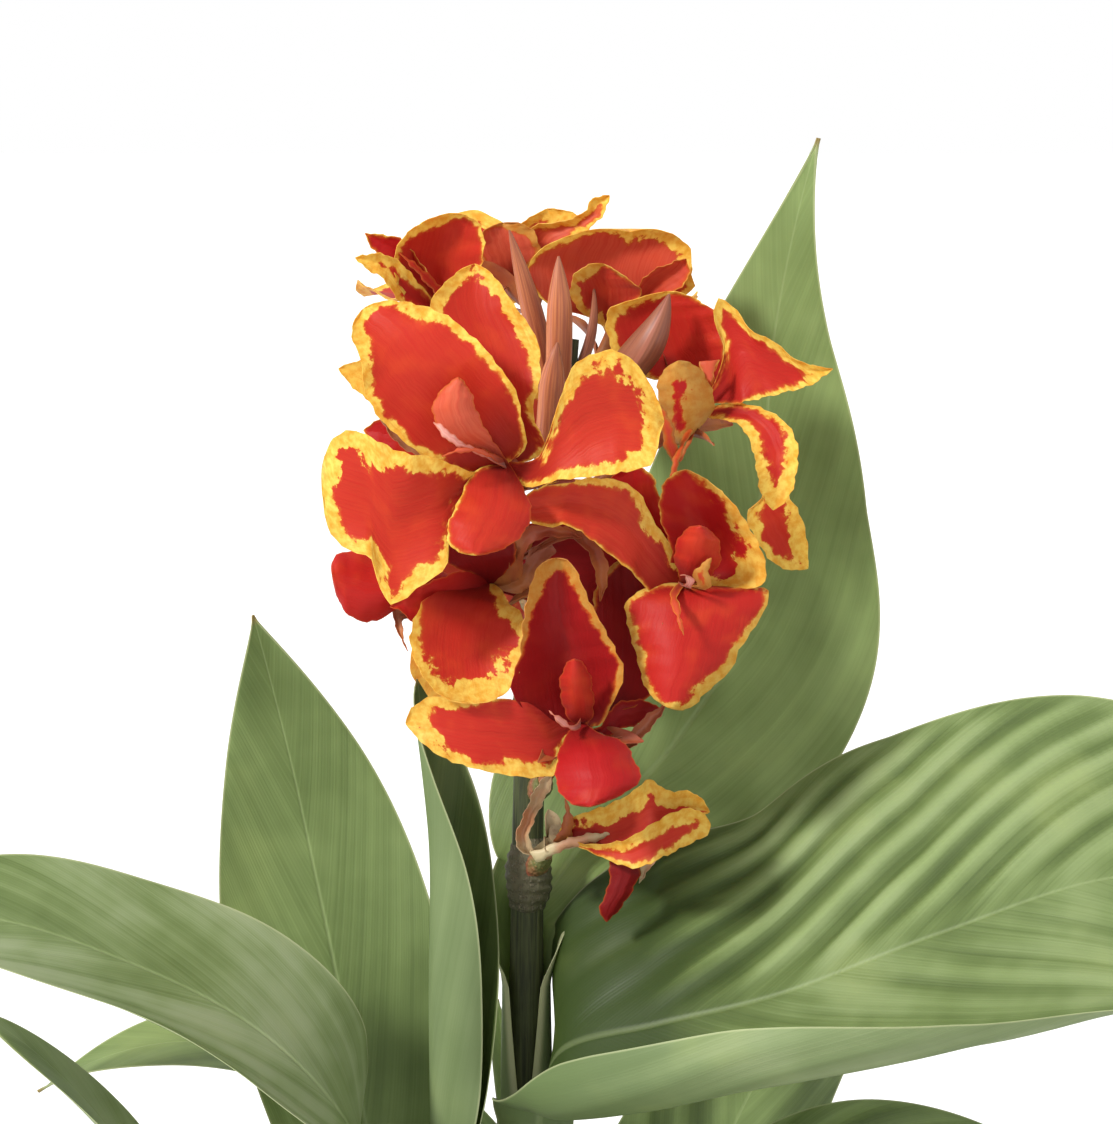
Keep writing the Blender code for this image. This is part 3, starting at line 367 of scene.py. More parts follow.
         (38, 32, 28), 1.5, (0.3, 3.6, 0.3, 2.2), -0.85, 0),
        ([(-14, 88), (-15, 98), (-9, 102.7), (-3, 106)], [(-4, 88), (6, 99), (7, 103.5), (2, 105.6)],
         (38, 37, 36), 1.5, (0.8, 5.0, 0.8, 5.0), -0.85, 0),
        ([(-14, 84), (-20, 88), (-23.5, 94), (-22, 99), (-16, 101.8)], [(-8, 86), (-5, 94), (-8, 100.3)],
         (37, 31, 30), 2.0, (0.3, 1.0, 2.0, 3.0), -0.7, 0.6),
    ],
    "bloom_upper_left": [
        ([(-36, 74), (-45, 79), (-49, 88), (-47, 96), (-41, 101.5), (-32, 104.7)],
         [(-25, 76), (-22.7, 88), (-21.7, 97), (-24.5, 102.7)],
         (15, 7, -2), 4.0, (0.0, 3.6, 0.0, 1.8), 0.0, 0),
        ([(-38, 74), (-47, 78.3), (-52, 85), (-57, 88), (-60.5, 91.3)], [(-38, 80), (-47, 90), (-53, 92.5)],
         (14, 3, -2), 1.5, (0.2, 4.5, 0.4, 4.5), 0.35, 0),
        ([(-40, 82), (-50, 90.5), (-54, 92.5), (-57.5, 98.7)], [(-38, 86), (-47, 97), (-53, 98.2)],
         (14, 6, 3), 1.5, (0, 0.6, 0, 0.8), 0.7, 0),
        ([(-33, 76), (-39, 83.5), (-47.5, 93)], [(-31, 78), (-37.5, 85.5)],
         (12, 0, -6), -0.5, (0.2, 0.2, 0.2, 0.2), 0.0, 0),
    ],
    "bloom_left_low": [
        ([(-27, -8), (-38, -10), (-43, -18), (-43.7, -26), (-39.5, -35), (-34, -40.5), (-26, -42.4)],
         [(-16, -9), (-14.5, -12.5), (-10.8, -15), (-9.8, -26), (-12, -34.5), (-17, -40.5)],
         (-26, -45, -56), 2.5, (-4.0, 9.0, 2.0, 8.0), 0.15, 0.1),
        ([(-25, -2), (-38, -6), (-46, -10), (-50, -13.5)],
         [(-24, -12), (-35, -19), (-41, -20), (-46, -15.3)], (-25, -36, -40), 1.0, (0, 0, 0, 0), 0.45, 0),
        ([(-30, -4), (-46, 1), (-54, 2.5), (-60, 3.6), (-66.5, 1.5), (-67.3, -4)],
         [(-30, -9), (-45, -12), (-50, -15.5), (-56, -18), (-63, -15.3)],
         (-25, -40, -44), -4.0, (0, 0, 0, 0), 0.45, 0),
        ([(-24, -4), (-33, 0), (-33, 8), (-26, 12)], [(-16, -4), (-12, 2), (-15, 9)],
         (-25, -34, -38), 2.0, (0, 0.5, 0, 0.5), 1.0, 0),
        ([(-24, 0), (-16, 8), (0, 13), (14, 9), (26, 0)], [(-14, -10), (2, -14), (16, -12)],
         (-22, -18, -14), 1.0, (0, 0, 0, 0), 0.9, 0),
    ],
    "bloom_spent": [
        ([(4, -77), (15, -73), (22, -69.5), (28, -65.3), (33, -68.5), (41, -69.2), (46, -75)],
         [(5, -85), (16, -87), (26, -84), (35, -79.5), (42, -77)],
         (-17, -27, -30), 1.5, (4.0, 9.0, 0.0, 1.0), -0.05, 0.1),
        ([(8, -84.5), (20, -83.5), (28, -79), (36, -74.7), (42, -74.2), (46.2, -78.5)],
         [(9, -86.5), (17, -90), (24, -91.8), (32, -88.5), (40, -84.5), (45, -82)],
         (-18, -33, -34), 1.0, (2.8, 4.0, 0.2, 3.2), 0.0, 0.1),
        ([(14, -86), (16, -92), (15.3, -98), (13, -104), (15, -108)],
         [(20, -86), (25, -92), (23, -98), (19, -104)], (-17, -26, -24), -1.0, (0, 0, 0, 0), 1.0, 0),
    ],
}

# Narrow outer petals and bracts that the photograph shows, drawn the same way, without a margin. Pale
# turns them from a reddish brown to a pale cream. They stand in the order first edge, second edge,
# depths, cup, pale
SEEN_SEPALS = {
    "bloom_front": [
        ([(-20, 29), (-40, 39), (-48, 45), (-55, 48.5)], [(-22, 26), (-41, 31.5), (-49, 37)],
         (-46, -50, -51), 1.5, 0.35),
    ],
    "bloom_left_low": [
        ([(-24, -8), (-42, -13), (-49, -13.5), (-44.5, -27)], [(-24, -11), (-42, -17), (-46, -17.5)],
         (-24, -32, -36), 0.5, 0.2),
        ([(-15, -3), (-13.5, 5), (-8, 10.5), (1, 11), (8, 7)], [(-11, -5), (-9.5, 3), (-5, 7), (1, 7.5)],
         (-24, -36, -36), 0.8, 0.0),
        ([(4, 10), (11, 6.5), (15.5, -1), (13, -12)], [(3, 7), (9, 3.5), (11.5, -3)],
         (-24, -34, -34), 0.8, 0.0),
        ([(-13, -6), (-8, 3), (-3, 6.5)], [(-10, -9), (-4.5, -1), (-0.5, 3)], (-24, -31, -31), 0.8, 0.1),
    ],
    "bloom_low_front": [
        ([(12, -51), (20, -52.5), (27, -46), (33, -42.5)], [(13, -55), (21, -56.5), (29, -49)],
         (-43, -40, -38), 1.0, 0.1),
    ],
    "bloom_spent": [
        ([(-8, -88), (-12.3, -84), (-9, -74), (-5, -66), (-1.5, -64)],
         [(-6, -87), (-8.2, -82), (-4.6, -73), (-2, -68)], (-15, -19, -20), 1.5, 0.75),
        ([(-8, -87), (2, -83.5), (10, -81.5), (17.5, -81.5)], [(-6, -90), (3, -86), (10, -84.3)],
         (-16, -22, -24), -0.5, 1.0),
        ([(-1, -84), (2, -78), (2.5, -71)], [(4, -84), (5, -78)], (-16, -22, -23), -0.5, 0.0),
        ([(16, -87), (24, -90), (24.7, -96.5)], [(16, -85), (30, -88), (28, -92)],
         (-17, -22, -23), 0.5, 1.0),
    ],
}

# Petals on the far side, which the photograph doesn't show: for each bloom, the points beyond the
# throat, the way the inner face looks from the throat to the tip, and the half width
FAR_PETALS = {
    "bloom_upper_back": [
        ([(36, 46, 606), (44, 62, 604)], [(-0.3, -0.1, 0.9), (-0.1, 0.2, 0.9), (0.1, 0.3, 0.9)], 15),
        ([(20, 46, 608), (12, 60, 610)], [(0.3, -0.1, 0.9), (0.1, 0.2, 0.9), (0, 0.3, 0.9)], 14),
    ],
    "bloom_top": [
        ([(-16, 44, 628), (-26, 46, 630)], [(0.3, -0.5, 0.8), (0.2, -0.6, 0.8), (0, -0.6, 0.8)], 11),
        ([(-6, 58, 616), (-8, 72, 610)], [(0, -0.2, 0.9), (0, 0.2, 0.9), (0, 0.5, 0.8)], 15),
    ],
    "bloom_upper_left": [
        ([(-38, 30, 612), (-50, 40, 612)], [(0.3, -0.3, 0.9), (0.1, -0.2, 0.9), (0, 0, 0.95)], 14),
    ],
}

# Each bloom that faces away from the photograph's side spreads its petals round its own axis: degrees
# from upright, share of the reach, half width
BACK_REACH = {"bloom_back": 42.0, "bloom_back_low": 34.0}
SPREAD = [(42, 1.0, 14), (-56, 0.95, 14), (152, 0.95, 15), (-146, 0.6, 10)]
FAR_CURL = 26.0
FAR_RUFFLE = 2.0
FAR_DEEP = 0.15
FAR_MARGIN = 4.5

# The outlines of far petals and of narrow outer ones: a share of the length, the share of the half
# width there, and where the rounding of the tip starts
ROUND = ([(0, 0.16), (0.24, 0.62), (0.54, 0.97), (0.82, 0.97), (TIP_SHARE, 0.82)], 0.7)
NARROW = ([(0, 0.3), (0.5, 1.0), (TIP_SHARE, 0.3)], 0.8)

# Each ovary stands this far out from the stem's line, and its bloom's tube begins past it
OVARY_LENGTH = 13.0
OVARY_RADII = (2.0, 3.6, 2.4)
TUBE_RADII = (2.0, 2.3, 3.8)
OUTER_PETALS = 3
OUTER_HALF_WIDTH = 3.4

# The knuckle where the lowest bracts sat, and each bud: its line from the stem to its tip,
# its radius, and how much painted shade darkens it
KNUCKLE = [(-1, 0, 428), (-0.5, 0, 438), (0, 0.5, 450)]
KNUCKLE_RADII = (4.7, 6.9, 4.4)
BUD_FOOT_RADIUS = 1.2
BUD_TIP_RADIUS = 0.3
BUDS = [
    ([(8, 6, 570), (1.5, -3, 604), (-6.0, -9, 633)], 3.4, 0.15),
    ([(7, 5, 556), (8.6, -12, 606), (8.6, -15, 625.5)], 3.9, 0.0),
    ([(12, 8, 586), (18, 10, 600), (19.2, 10, 615.5)], 1.6, 0.4),
    ([(11, 7, 574), (33, -17, 597), (41.3, -19, 614.5)], 5.4, 0.75),
    ([(4, 4, 552), (6.3, -12, 586), (8.3, -16, 600)], 3.8, 0.0),
]

# The photograph's camera: the point at the middle of the picture, and the height of the picture there
AIM = (8.0, 0.0, 533.4)
PICTURE_HEIGHT = 337.2
CAMERA_DISTANCE = 1600.0
CAMERA_ELEVATION = 5.0
SENSOR = 36.0
FARTHEST_SEEN = 200.0

# The sun's light travels this way, from the front left and above. Its width is in degrees
SUN_DIRECTION = (0.95, 0.9, -0.8)
SUN_ENERGY = 3.6
SUN_WIDTH = 9.0
SUN_COLOUR = (1.0, 0.985, 0.96)
FLOOR_REACH = 60.0
FLOOR_GREY = 0.9

# The crumbs on the soil: how many, their sizes in millimetres, and how much of the soil they cover
CRUMBS = 420
CRUMB_SIZES = (0.9, 2.9)
CRUMB_REACH = 0.96


# Curves and surfaces

def unit(vectors):
    """The vectors, each at length one."""
    return vectors / np.maximum(np.linalg.norm(vectors, axis=-1, keepdims=True), 1e-9)


def chord_knots(points):
    """How far along each point lies, as a share of the chords' whole length."""
    steps = np.linalg.norm(np.diff(np.asarray(points, float), axis=0), axis=1)
    knots = np.concatenate([[0.0], np.cumsum(steps)])
    return knots / knots[-1]


def line_length(points):
    """The length of the chords from point to point."""
    return np.linalg.norm(np.diff(np.asarray(points, float), axis=0), axis=1).sum()


def follow(knots, values, at):
    """A smooth curve through the values, read at the given shares of its length."""
    values = np.asarray(values, float)
    if len(values) == 2:
        return values[0] + np.outer(at, values[1] - values[0])
    slopes = np.empty_like(values)
    slopes[1:-1] = (values[2:] - values[:-2]) / (knots[2:] - knots[:-2])[:, None]
    slopes[0] = 2 * (values[1] - values[0]) / (knots[1] - knots[0]) - slopes[1]
    slopes[-1] = 2 * (values[-1] - values[-2]) / (knots[-1] - knots[-2]) - slopes[-2]
    i = np.clip(np.searchsorted(knots, at, side="right") - 1, 0, len(knots) - 2)
    span = (knots[i + 1] - knots[i])[:, None]
    u = (at - knots[i])[:, None] / span
    return (
        (2 * u**3 - 3 * u**2 + 1) * values[i]
        + (u**3 - 2 * u**2 + u) * span * slopes[i]
        + (3 * u**2 - 2 * u**3) * values[i + 1]
        + (u**3 - u**2) * span * slopes[i + 1]
    )


def ease(x):
    """A smooth step from 0 to 1."""
    x = np.clip(x, 0.0, 1.0)
    return x * x * (3 - 2 * x)


def bell(x, width):
    """A bump of height one round zero."""
    return np.exp(-((x / width) ** 2))


def humped(u, rise, fall):
    """A blade's width along its length: zero at both ends, one at its widest."""
    top = rise / (rise + fall)
    return (u / top) ** rise * ((1 - u) / (1 - top)) ** fall


def across(v, curl, power):
    """Where a strip of length one, lying along the side, comes to as it curls: along the side, and up."""
    x = np.linspace(0, 1, 65)
    turn = curl[:, None] * x ** power[:, None]
    found = []
    for slope in (np.cos(turn), np.sin(turn)):
        summed = np.zeros_like(turn)
        summed[:, 1:] = np.cumsum((slope[:, 1:] + slope[:, :-1]) / 2 * x[1], 1)
        found.append(np.array([np.interp(v[i], x, summed[i]) for i in range(len(v))]))
    return found


def blade_surface(spine, looks, v, half_width, curls, powers, wave):
    """The middle surface of a blade as a grid of points, with the way its upper face looks."""
    tangent = unit(np.gradient(spine, axis=0))
    upper = unit(looks - (looks * tangent).sum(1, keepdims=True) * tangent)
    side = np.cross(tangent, upper)
    grid = np.zeros((*v.shape, 3))
    for sign, curl, power in ((-1, curls[0], powers[0]), (1, curls[1], powers[1])):
        run, lift = across(np.abs(v), curl, power)
        there = (
            spine[:, None]
            + sign * side[:, None] * (run * half_width[:, None])[..., None]
            + upper[:, None] * (lift * half_width[:, None])[..., None]
        )
        held = v * sign >= 0
        grid[held] = there[held]
    grid = grid + facing(grid) * wave[..., None]
    return grid, facing(grid)


def facing(grid):
    """The way the upper face of a grid of points looks at each of them."""
    return unit(np.cross(np.gradient(grid, axis=1), np.gradient(grid, axis=0)))


class Shape:
    """Vertices in millimetres, faces, and named values at each vertex."""

    def __init__(self):
        self.vertices = []
        self.faces = []
        self.values = {}
        self.count = 0

    def add(self, vertices, faces, **values):
        for name, value in values.items():
            spread = np.broadcast_to(np.asarray(value, float), (len(vertices),))
            self.values.setdefault(name, []).append(spread)
        self.faces += [tuple(k + self.count for k in face) for face in faces]
        self.vertices.append(np.asarray(vertices, float))
        self.count += len(vertices)

    def add_sheet(self, grid, normal, above, below, **values):
        """A closed thin sheet round a surface, with the same values on both faces."""
        rows, columns = grid.shape[:2]
        shift = rows * columns
        faces = []
        for i in range(rows - 1):
            for j in range(columns - 1):
                a = i * columns + j
                c = a + columns
                faces.append((a, a + 1, c + 1, c))
                faces.append((a + shift, c + shift, c + 1 + shift, a + 1 + shift))
        ring = list(range(columns))
        ring += [i * columns + columns - 1 for i in range(1, rows)]
        ring += [(rows - 1) * columns + j for j in range(columns - 2, -1, -1)]
        ring += [i * columns for i in range(rows - 2, 0, -1)]
        for p, q in zip(ring, ring[1:] + ring[:1]):
            faces.append((q, p, p + shift, q + shift))
        top = (grid + normal * above[..., None]).reshape(-1, 3)
        under = (grid - normal * below[..., None]).reshape(-1, 3)
        doubled = {name: np.tile(np.broadcast_to(value, grid.shape[:2]).ravel(), 2)
                   for name, value in values.items()}
        doubled["under"] = np.repeat([0.0, 1.0], shift)
        self.add(np.concatenate([top, under]), faces, **doubled)

    def add_limb(self, points, radii, grid, profile=None, **values):
        """A closed round limb along a smooth line. The profile changes its radius by place and angle."""
        rings, sides = grid
        knots = chord_knots(points)
        s = np.linspace(0, 1, rings)
        line = follow(knots, points, s)
        radius = follow(knots, np.asarray(radii, float)[:, None], s)[:, 0]
        tangent = unit(np.gradient(line, s, axis=0))
        start = np.array([1.0, 0.0, 0.0]) if abs(tangent[0][0]) < 0.8 else np.array([0.0, 1.0, 0.0])
        turn = 2 * np.pi * np.arange(sides) / sides
        vertices = []
        for p, t, r, share in zip(line, tangent, radius, s):
            start = unit(start - (start @ t) * t)
            other = np.cross(t, start)
            reach = r * (profile(share, turn) if profile else np.ones(sides))
            ring = np.outer(np.cos(turn), start) + np.outer(np.sin(turn), other)
            vertices.append(p + reach[:, None] * ring)
        faces = [tuple(range(sides - 1, -1, -1))]
        for i in range(rings - 1):
            for k in range(sides):
                a, b = i * sides + k, i * sides + (k + 1) % sides
                faces.append((a, b, b + sides, a + sides))
        faces.append(tuple((rings - 1) * sides + k for k in range(sides)))
        values["along_mm"] = np.repeat(s * line_length(line), sides)
        values["share"] = np.repeat(s, sides)
        values["turn"] = np.tile(turn, rings)
        self.add(np.concatenate(vertices), faces, **values)

    def add_lathe(self, profile, sides):
        """A closed solid turned round the Z axis from a profile that starts and ends on it."""
        turn = 2 * np.pi * np.arange(sides) / sides
        vertices = [(0, 0, profile[0][1]), (0, 0, profile[-1][1])]
        inner = profile[1:-1]
        for r, z in inner:
            vertices += [(r * math.cos(t), r * math.sin(t), z) for t in turn]
        faces = []
        for k in range(sides):
            following = (k + 1) % sides
            last = 2 + (len(inner) - 1) * sides
            faces.append((0, 2 + following, 2 + k))
            faces.append((1, last + k, last + following))
            for i in range(len(inner) - 1):
                a, b = 2 + i * sides + k, 2 + i * sides + following
                faces.append((a, b, b + sides, a + sides))
        self.add(vertices, faces)


def mesh_object(name, shape):
    """An object from a shape, with its values as attributes that a material can read."""
    mesh = bpy.data.meshes.new(name)
    mesh.from_pydata((np.concatenate(shape.vertices) * MM).tolist(), [], shape.faces)
    for key, parts in shape.values.items():
        attribute = mesh.attributes.new(key, "FLOAT", "POINT")
        attribute.data.foreach_set("value", np.concatenate(parts).astype(np.float32))
    made = bpy.data.objects.new(name, mesh)
    bpy.context.scene.collection.objects.link(made)
    return made


def dress(made, finish, node, sharp=50.0):
    """Gives an object its material and smooth shading, and puts it in the place of its CAD node."""
    made.data.materials.clear()
    made.data.materials.append(finish)
    made.data.shade_smooth()
    made.data.set_sharp_from_angle(angle=math.radians(sharp))
    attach(made, "root")
    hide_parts(node)
    return made


def piece(name, shape, finish, node, sharp=50.0):
    return dress(mesh_object(name, shape), finish, node, sharp)


# Materials. Colours are the photograph's 0 to 255 values

def colour(red, green, blue):
    """A linear colour from 0 to 255 values."""
    shares = [c / 255 for c in (red, green, blue)]
    return tuple(c / 12.92 if c <= 0.04045 else ((c + 0.055) / 1.055) ** 2.4 for c in shares)


class Value:
    """A node's output, which can be added, taken away and multiplied."""

    def __init__(self, finish, socket):
        self.finish = finish
        self.socket = socket

    def __add__(self, other):
        return self.finish.math("ADD", self, other)

    def __sub__(self, other):
        return self.finish.math("SUBTRACT", self, other)

    def __rsub__(self, other):
        return self.finish.math("SUBTRACT", other, self)

    def __mul__(self, other):
        return self.finish.math("MULTIPLY", self, other)

    __radd__ = __add__
    __rmul__ = __mul__

    def step(self, low, high):
        """A smooth step from 0 at low to 1 at high."""
        inputs = {"Value": self, "From Min": low, "From Max": high}
        return self.finish.node("MapRange", inputs, interpolation_type="SMOOTHSTEP")


class Finish:
    """A material, with short ways to add its nodes. A value may be a number or another node's output."""

    def __init__(self, name, roughness):
        self.material = bpy.data.materials.new(name)
        self.material.use_nodes = True
        self.tree = self.material.node_tree
        self.shader = self.tree.nodes["Principled BSDF"]
        self.set("Roughness", roughness)

    def plug(self, socket, value):
        if isinstance(value, Value):
            self.tree.links.new(value.socket, socket)
        elif isinstance(value, tuple):
            socket.default_value = (*colour(*value), 1.0)
        else:
            socket.default_value = value

    def set(self, name, value):
        self.plug(self.shader.inputs[name], value)

    def node(self, kind, inputs, output=0, **settings):
        made = self.tree.nodes.new("ShaderNode" + kind)
        for key, value in settings.items():
            setattr(made, key, value)
        for key, value in inputs.items():
            self.plug(made.inputs[key], value)
        return Value(self, made.outputs[output])

    def read(self, *names):
        """Named values of the mesh."""
        return [self.node("Attribute", {}, "Fac", attribute_name=name) for name in names]

    def place(self):
        """Where a point of the object is, in metres."""
        return self.node("TexCoord", {}, "Object")

    def vector(self, x, y, z=0.0):
        return self.node("CombineXYZ", {0: x, 1: y, 2: z})

    def math(self, operation, a, b=0.0):
        return self.node("Math", {0: a, 1: b}, operation=operation)

    def wrapped(self, turn, reach, far):
        """A place on a round limb, without a seam."""
        return self.vector(self.math("COSINE", turn) * reach, self.math("SINE", turn) * reach, far)

    def noise(self, place, scale, detail=2.0, rough=0.5):
        inputs = {"Vector": place, "Scale": scale, "Detail": detail, "Roughness": rough}
        return self.node("TexNoise", inputs, "Fac")

    def cells(self, place, scale):
        return self.node("TexVoronoi", {"Vector": place, "Scale": scale}, "Distance")

    def mix(self, share, low, high):
        return self.node("Mix", {0: share, 6: low, 7: high}, 2, data_type="RGBA")

    def bump(self, height, distance):
        """Sets the surface's fine relief, in metres."""
        self.set("Normal", self.node("Bump", {"Height": height, "Distance": distance, "Strength": 1.0}))

    def glow_through(self, tint, share):
        """Lets part of the light through, as a thin leaf or petal does."""
        through = self.node("BsdfTranslucent", {"Color": tint})
        both = self.node("MixShader", {0: share, 1: Value(self, self.shader.outputs[0]), 2: through})
        self.plug(self.tree.nodes["Material Output"].inputs["Surface"], both)


def leaf_finish():
    """A satin blade: painted highlight and shade on the pleats between its side veins, fine parallel
    streaks, a pale midrib and margin.
    """
    made = Finish("leaf_blade", 0.5)
    vein, rib, edge, tone, under = made.read("vein_mm", "rib_mm", "edge_mm", "tone", "under")
    along, pleat, wax = made.read("share", "pleat", "wax")
    streak = made.noise(made.vector(0.9 * vein, 0.02 * rib, 3.0), 1.0, 3.0, 0.6)
    band = made.noise(made.vector(0.16 * vein, 0.006 * rib, 9.0), 1.0, 2.0, 0.5)
    blotch = made.noise(made.place(), 22.0, 3.0, 0.55)
    fine = made.math("SINE", vein * (2 * math.pi / 1.1))
    # The pleat term paints highlight on each pleat's ridge and shade in its furrow, and tone brings the
    # foot's painted shade
    light = 0.28 * (streak - 0.5) + 0.34 * pleat + 0.4 * (band - 0.5) + 0.7 * (blotch - 0.5) + 0.012 * fine
    light = (light + tone).step(-0.15, 1.15)
    upper = made.mix(light, (54, 70, 30), (152, 174, 106))
    lower = made.mix(light, (104, 122, 78), (160, 176, 126))
    face = made.mix(under, upper, lower)
    # A waxy grey bloom that also paints sheen, laid over the lighter parts
    wax_and_sheen_share = wax * (0.35 + 0.45 * blotch.step(0.35, 0.65))
    face = made.mix(wax_and_sheen_share * light.step(0.25, 0.7), face, (150, 160, 126))
    face = made.mix(0.2 * blotch.step(0.52, 0.78), face, (156, 166, 90))
    rib_edge = 1.5 * (1.0 - along) + 0.25
    on_rib = 1.0 - rib.step(0.35 * rib_edge, rib_edge)
    face = made.mix(0.2 * on_rib, face, (176, 190, 138))
    # A pale margin, wider and paler on the sheath, where its brightness is partly painted light glowing
    # through
    sheath = 1.0 - along.step(0.0, 0.08)
    margin = 0.75 + 2.6 * sheath
    on_edge = (1.0 - edge.step(0.3 * margin, margin)) * (0.35 + 0.55 * sheath)
    face = made.mix(on_edge, face, (212, 214, 168))
    face = made.mix(0.8 * along.step(0.985, 1.0), face, (150, 118, 62))
    made.set("Base Color", face)
    made.set("Roughness", 0.44 + 0.16 * streak)
    made.set("Specular IOR Level", 0.32)
    made.bump(0.1 * fine + 0.9 * streak, 0.0001)
    made.glow_through(made.mix(0.5, face, (160, 186, 58)), 0.28)
    return made.material


def petal_finish():
    """A silky petal: red with lengthwise veins and painted shade darkening the throat, and a flecked yellow
    margin.
    """
    made = Finish("petal", 0.5)
    side, far, edge, share, under = made.read("side_mm", "far_mm", "edge_mm", "share", "under")
    deep, margin, seed, amber = made.read("deep", "margin", "seed", "amber")
    flat = made.vector(side, far, 31.0 * seed)
    broad = made.noise(flat, 0.11, 2.0, 0.5)
    ragged = made.noise(flat, 0.42, 3.0, 0.6)
    speck = made.noise(flat, 1.0, 2.0, 0.6)
    streak = made.noise(made.vector(1.3 * side, 0.05 * far, 17.0 * seed), 1.0, 3.0, 0.6)
    # How deep the red is: partly each petal's own colour, partly painted shade and painted light set petal
    # by petal
    red = made.mix(deep.step(-2.0, -1.0), (244, 208, 196), (222, 112, 80))
    red = made.mix(deep.step(-1.0, 0.0), red, (202, 57, 36))
    red = made.mix(deep.step(-0.1, 0.75), red, (190, 30, 32))
    red = made.mix(deep.step(0.6, 1.1), red, (122, 16, 18))
    light = 1.0 - deep.step(0.4, 1.1)
    red = made.mix(streak.step(0.35, 0.75) * (0.1 + 0.3 * light), red, (192, 28, 28))
    red = made.mix(broad.step(0.45, 0.75) * (0.35 * light), red, (222, 84, 40))
    # Painted shade: the red darkens towards the throat
    throat = 1.0 - share.step(0.05, 0.42)
    red = made.mix(0.6 * throat, red, (116, 14, 18))
    width = (2.7 * broad - 0.35) * margin + (ragged - 0.5) * (0.3 + 1.15 * margin)
    width = width + (speck - 0.5) * (0.35 * margin) - 0.2
    inside = width - edge
    gold = made.mix(ragged.step(0.3, 0.7), (232, 178, 60), (246, 220, 106))
    gold = made.mix(0.4 * streak.step(0.55, 0.8), gold, (214, 134, 46))
    gold = made.mix(amber, gold, (184, 104, 50))
    face = made.mix(inside.step(-0.9, 0.3), red, (206, 98, 38))
    face = made.mix(inside.step(-0.15, 0.55), face, gold)
    face = made.mix(under, face, made.mix(0.3, face, (206, 112, 80)))
    made.set("Base Color", face)
    made.set("Roughness", 0.4 + 0.18 * streak)
    made.set("Specular IOR Level", 0.22)
    made.set("Sheen Weight", 0.04)
    made.set("Sheen Roughness", 0.45)
    made.bump(streak + 0.3 * speck, 0.00018)
    made.glow_through(face, 0.42)
    return made.material


def calyx_finish():
    """The floral tube and the narrow outer petals: reddish green, paler on a spent bloom."""
    made = Finish("calyx", 0.5)
    share, pale = made.read("share", "pale")
    spots = made.noise(made.place(), 420.0, 3.0, 0.6)
    broad = made.noise(made.place(), 90.0, 2.0, 0.5)
    face = made.mix(broad.step(0.35, 0.7), (160, 66, 40), (190, 110, 52))
    face = made.mix(0.3 * (1.0 - share), face, (128, 112, 60))
    face = made.mix(pale, face, made.mix(broad.step(0.4, 0.65), (196, 180, 140), (186, 136, 100)))
    face = made.mix(0.4 * spots.step(0.55, 0.75), face, (124, 66, 44))
    made.set("Base Color", face)
    made.bump(spots, 0.00015)
    made.glow_through(face, 0.2)
    return made.material


def stem_finish():
    """A waxy stem with faint lengthwise lines: dark green and painted shade high up, green low down,
    scarred at the knuckle with pale flecks painted as highlights.
    """
    made = Finish("stem", 0.5)
    turn, far, leafy, scarred = made.read("turn", "along_mm", "leafy", "bloomy")
    lines = made.noise(made.wrapped(turn, 7.0, 0.05 * far), 1.1, 3.0, 0.6)
    cloud = made.noise(made.place(), 60.0, 3.0, 0.55)
    # The dark greens are the stem's own dark green with painted shade; the leafy part low down is lighter
    face = made.mix(lines.step(0.3, 0.7), (38, 44, 22), (66, 72, 38))
    face = made.mix(0.4 * cloud.step(0.45, 0.75), face, (72, 80, 44))
    face = made.mix(leafy, face, made.mix(lines, (84, 102, 52), (126, 144, 84)))
    face = made.mix(scarred * cloud.step(0.25, 0.65), face, (88, 84, 62))
    # Pale flecks on the knuckle are painted highlights, and they also roughen its bump
    highlight_flecks = scarred * made.noise(made.place(), 700.0, 3.0, 0.65).step(0.5, 0.7)
    face = made.mix(0.6 * highlight_flecks, face, (140, 134, 112))
    made.set("Base Color", face)
    made.set("Roughness", 0.5 + 0.2 * cloud)
    made.set("Specular IOR Level", 0.3)
    made.bump(lines + 1.5 * highlight_flecks, 0.0003)
    return made.material


def ovary_finish():
    """A warty seed vessel, green and flushed red in patches."""
    made = Finish("ovary", 0.6)
    warts = 1.0 - made.cells(made.place(), 900.0)
    cloud = made.noise(made.place(), 120.0, 2.0, 0.5)
    face = made.mix(cloud.step(0.35, 0.65), (96, 98, 50), (136, 74, 50))
    face = made.mix(0.5 * warts.step(0.6, 0.95), face, (176, 120, 78))
    made.set("Base Color", face)
    made.bump(warts, 0.0004)
    return made.material


def bud_finish():
    """A furled bud: brownish red with lengthwise lines and a paler seam and tip."""
    made = Finish("bud", 0.48)
    turn, share, dark = made.read("turn", "share", "dark")
    lines = made.noise(made.wrapped(turn, 2.2, 1.2 * share), 2.2, 3.0, 0.6)
    face = made.mix(lines.step(0.32, 0.68), (146, 76, 50), (188, 114, 70))
    # Painted shade darkens each bud by its own share
    face = made.mix(dark, face, made.mix(lines, (84, 42, 32), (126, 70, 50)))
    face = made.mix(0.4 * share.step(0.8, 1.0), face, (120, 64, 44))
    seam = made.math("SINE", 3.0 * turn + 2.5 * share).step(0.86, 1.0)
    face = made.mix(0.35 * seam, face, (180, 112, 92))
    made.set("Base Color", face)
    made.bump(lines, 0.00025)
    return made.material


